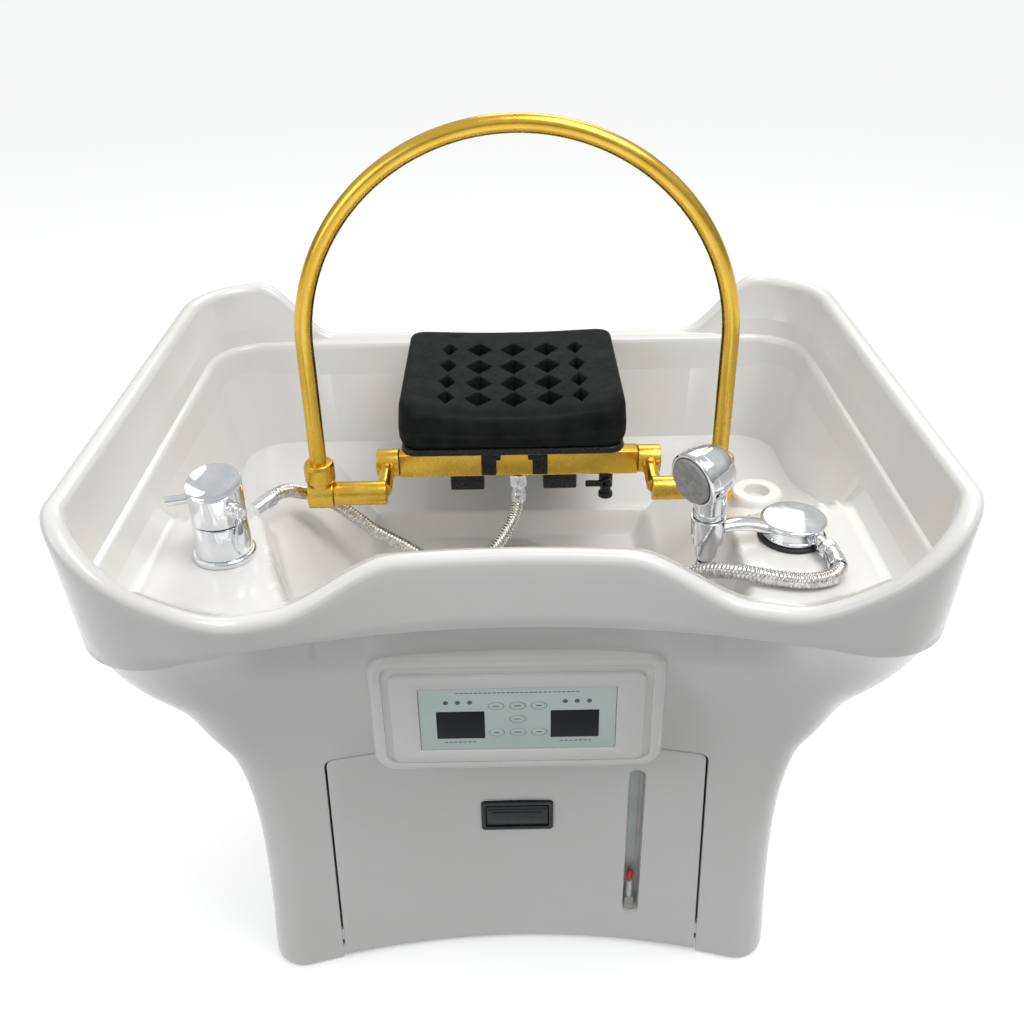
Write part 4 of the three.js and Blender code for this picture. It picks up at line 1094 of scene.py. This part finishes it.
def make_cushion():
    columns, rows = 190, 166
    half_x, half_y = REST.half - 7, (REST.back - REST.front) / 2 - 7
    middle_y = (REST.front + REST.back) / 2
    points, faces = [], []
    for j in range(rows + 1):
        for i in range(columns + 1):
            x, y = squared_corner(mix(-half_x, half_x, i / columns), mix(-half_y, half_y, j / rows),
                                  half_x, half_y, 16)
            x, y = x + REST.x, y + middle_y
            points.append(Vector((x, y, cushion_top(x, y) - hole_depth(x, y) + stud_height(x, y))))
    width = columns + 1
    for j in range(rows):
        for i in range(columns):
            start = j * width + i
            faces.append((start, start + 1, start + width + 1, start + width))
    border = [i for i in range(columns)]
    border += [columns + j * width for j in range(rows)]
    border += [rows * width + i for i in range(columns, 0, -1)]
    border += [j * width for j in range(rows, 0, -1)]
    profile = [(1.6, 0.25), (3.2, 1), (4.6, 2.3), (5.6, 4), (6.3, 6.5), (6.8, 10), (7.2, 15), (7.6, 20),
               (7.8, 21.2), (7.3, 22), (7.9, 23), (8.2, 29), (8.1, 34), (7.6, 34.8), (8.1, 35.7),
               (7.6, 39), (6.4, 42.5), (4.2, 45), (0, 46)]
    low = REST.low + 0.3
    previous = border
    for out, drop in profile:
        start = len(points)
        for index in border:
            edge_point = points[index]
            inward = Vector((edge_point.x - REST.x, edge_point.y - middle_y, 0))
            away = Vector((inward.x * (half_y / half_x), inward.y, 0))
            corner = Vector((copysign(max(abs(inward.x) - half_x + 16, 0), inward.x),
                             copysign(max(abs(inward.y) - half_y + 16, 0), inward.y), 0))
            way = corner.normalized() if corner.length > 0.01 else away.normalized()
            fall = (edge_point.z - low) * drop / 46
            points.append(Vector((edge_point.x, edge_point.y, edge_point.z - fall)) + way * out)
        count = len(border)
        for k in range(count):
            after = (k + 1) % count
            faces.append((previous[k], previous[after], start + after, start + k))
        previous = list(range(start, start + count))
    faces.append(tuple(previous))
    cushion = piece("cushion", (points, faces), SOFT_BLACK, "headrest", ["headrest_cushion"], sharp=70)


def make_tray():
    rest_y = (REST.front + REST.back) / 2
    depth = REST.back - REST.front - 2
    rings = []
    for inset, z in [(4, 573.6), (1.5, 574.2), (0.2, 576), (0, 578.4), (0.6, 580.6), (2, 581.8), (5, 582.2)]:
        outline = rounded_rectangle(236 - 2 * inset, depth - 2 * inset, 17 - inset)
        rings.append([Vector((REST.x + u, rest_y + v, z)) for u, v in outline])
    bar_front = BAR.y - BAR.depth / 2 - 0.3
    bar_back = BAR.y + BAR.depth / 2 + 0.3
    hooks = [block((x - 8, bar_front - 4.5, 544), (x + 8, bar_front, 575)) for x in (-24, 31)]
    steps = [block((x - 8 + side * 5, bar_front - 7, 563), (x + 8 + side * 5, bar_front, 575))
             for x, side in ((-24, 1), (31, -1))]
    legs = [block((x - 18.5, bar_back, 512), (x + 18.5, bar_back + 18, 575), 1.6) for x in (-48.5, 53.5)]
    shape = merged(loft(rings, caps=True), *hooks, *steps, *legs)
    piece("tray", shape, BLACK, "headrest", ["headrest_tray"])


# ---- CAD nodes that keep their shape
KEPT = [
    (INNER_WHITE, ["base_plate", "water_tank", "level_channel", "control_box", "drain_body", "waste_pipe"]),
    (RUBBER, [f"foot_{end}_{side}" for end in ("front", "back") for side in ("left", "right")]),
    (CLEAR, ["level_tube"]),
    (RED, ["level_float"]),
    (STEEL, ["catch_magnet", "circulation_pump", "heater_unit", "crossbar_mount"]),
    (BLACK, ["power_inlet"]),
    (CHROME, ["drain_strainer"]),
]


def finish_kept_nodes():
    for material, nodes in KEPT:
        for node in nodes:
            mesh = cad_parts[node].data
            mesh.materials.clear()
            mesh.materials.append(material)


# ---- room
def area_light(name, place, target, size, power, color=(1, 1, 1)):
    data = bpy.data.lights.new(name, "AREA")
    data.size = size
    data.energy = power
    data.color = color
    light = bpy.data.objects.new(name, data)
    light.location = place
    light.rotation_euler = (Vector(target) - Vector(place)).to_track_quat("-Z", "Y").to_euler()
    bpy.context.scene.collection.objects.link(light)


def make_world():
    world = bpy.data.worlds.new("world")
    bpy.context.scene.world = world
    world.use_nodes = True
    nodes, links = world.node_tree.nodes, world.node_tree.links
    place = nodes.new("ShaderNodeTexCoord")
    parts = nodes.new("ShaderNodeSeparateXYZ")
    ramp = nodes.new("ShaderNodeValToRGB")
    elements = ramp.color_ramp.elements
    elements[0].color = (0.36, 0.36, 0.37, 1)
    elements[1].position = 0.55
    elements[1].color = (0.95, 0.96, 0.97, 1)
    middle = elements.new(0.18)
    middle.color = (0.47, 0.47, 0.48, 1)
    links.new(place.outputs["Generated"], parts.inputs["Vector"])
    links.new(parts.outputs["Z"], ramp.inputs["Fac"])
    links.new(ramp.outputs["Color"], nodes["Background"].inputs["Color"])
    nodes["Background"].inputs["Strength"].default_value = 0.7


def make_room():
    floor_material = plain_material("floor", (0.93, 0.93, 0.93), 0.7, Emission_Color=(1, 1, 1, 1),
                                    Emission_Strength=0.35)
    edge = 60000
    floor = new_object("floor", ([(-edge, -edge, 0), (edge, -edge, 0), (edge, edge, 0), (-edge, edge, 0)],
                                 [(0, 1, 2, 3)]))
    floor.data.materials.append(floor_material)
    floor.visible_diffuse = False
    area_light("key", (0.8, -0.5, 2.6), (0, 0, 0.5), 1.3, 27)
    area_light("fill", (-1.7, -1.2, 1.5), (0, 0, 0.5), 1.2, 8, (0.94, 0.97, 1))
    area_light("back", (0.3, 1.7, 2.2), (0, 0, 0.5), 1.2, 11, (1, 0.93, 0.84))
    make_world()
    bpy.context.scene.view_settings.view_transform = "Standard"


# ---- assembly
make_camera()
make_hose("shower_hose", HANDSET_HOSE, "handset_hose")
make_hose("arch_hose", RING_HOSE, "ring_hose")
make_tub()
make_overflow()
make_pedestal()
make_panel_boss()
make_door()
make_latch()
make_panel()
make_mixer()
make_diverter()
make_cradle()
make_handset()
make_ferrule()
make_inlet()
make_valve()
make_bar()
for arm_side in (-1, 1):
    make_arm(arm_side)
    make_block(arm_side)
make_arch()
make_cushion()
make_tray()
finish_kept_nodes()
make_room()
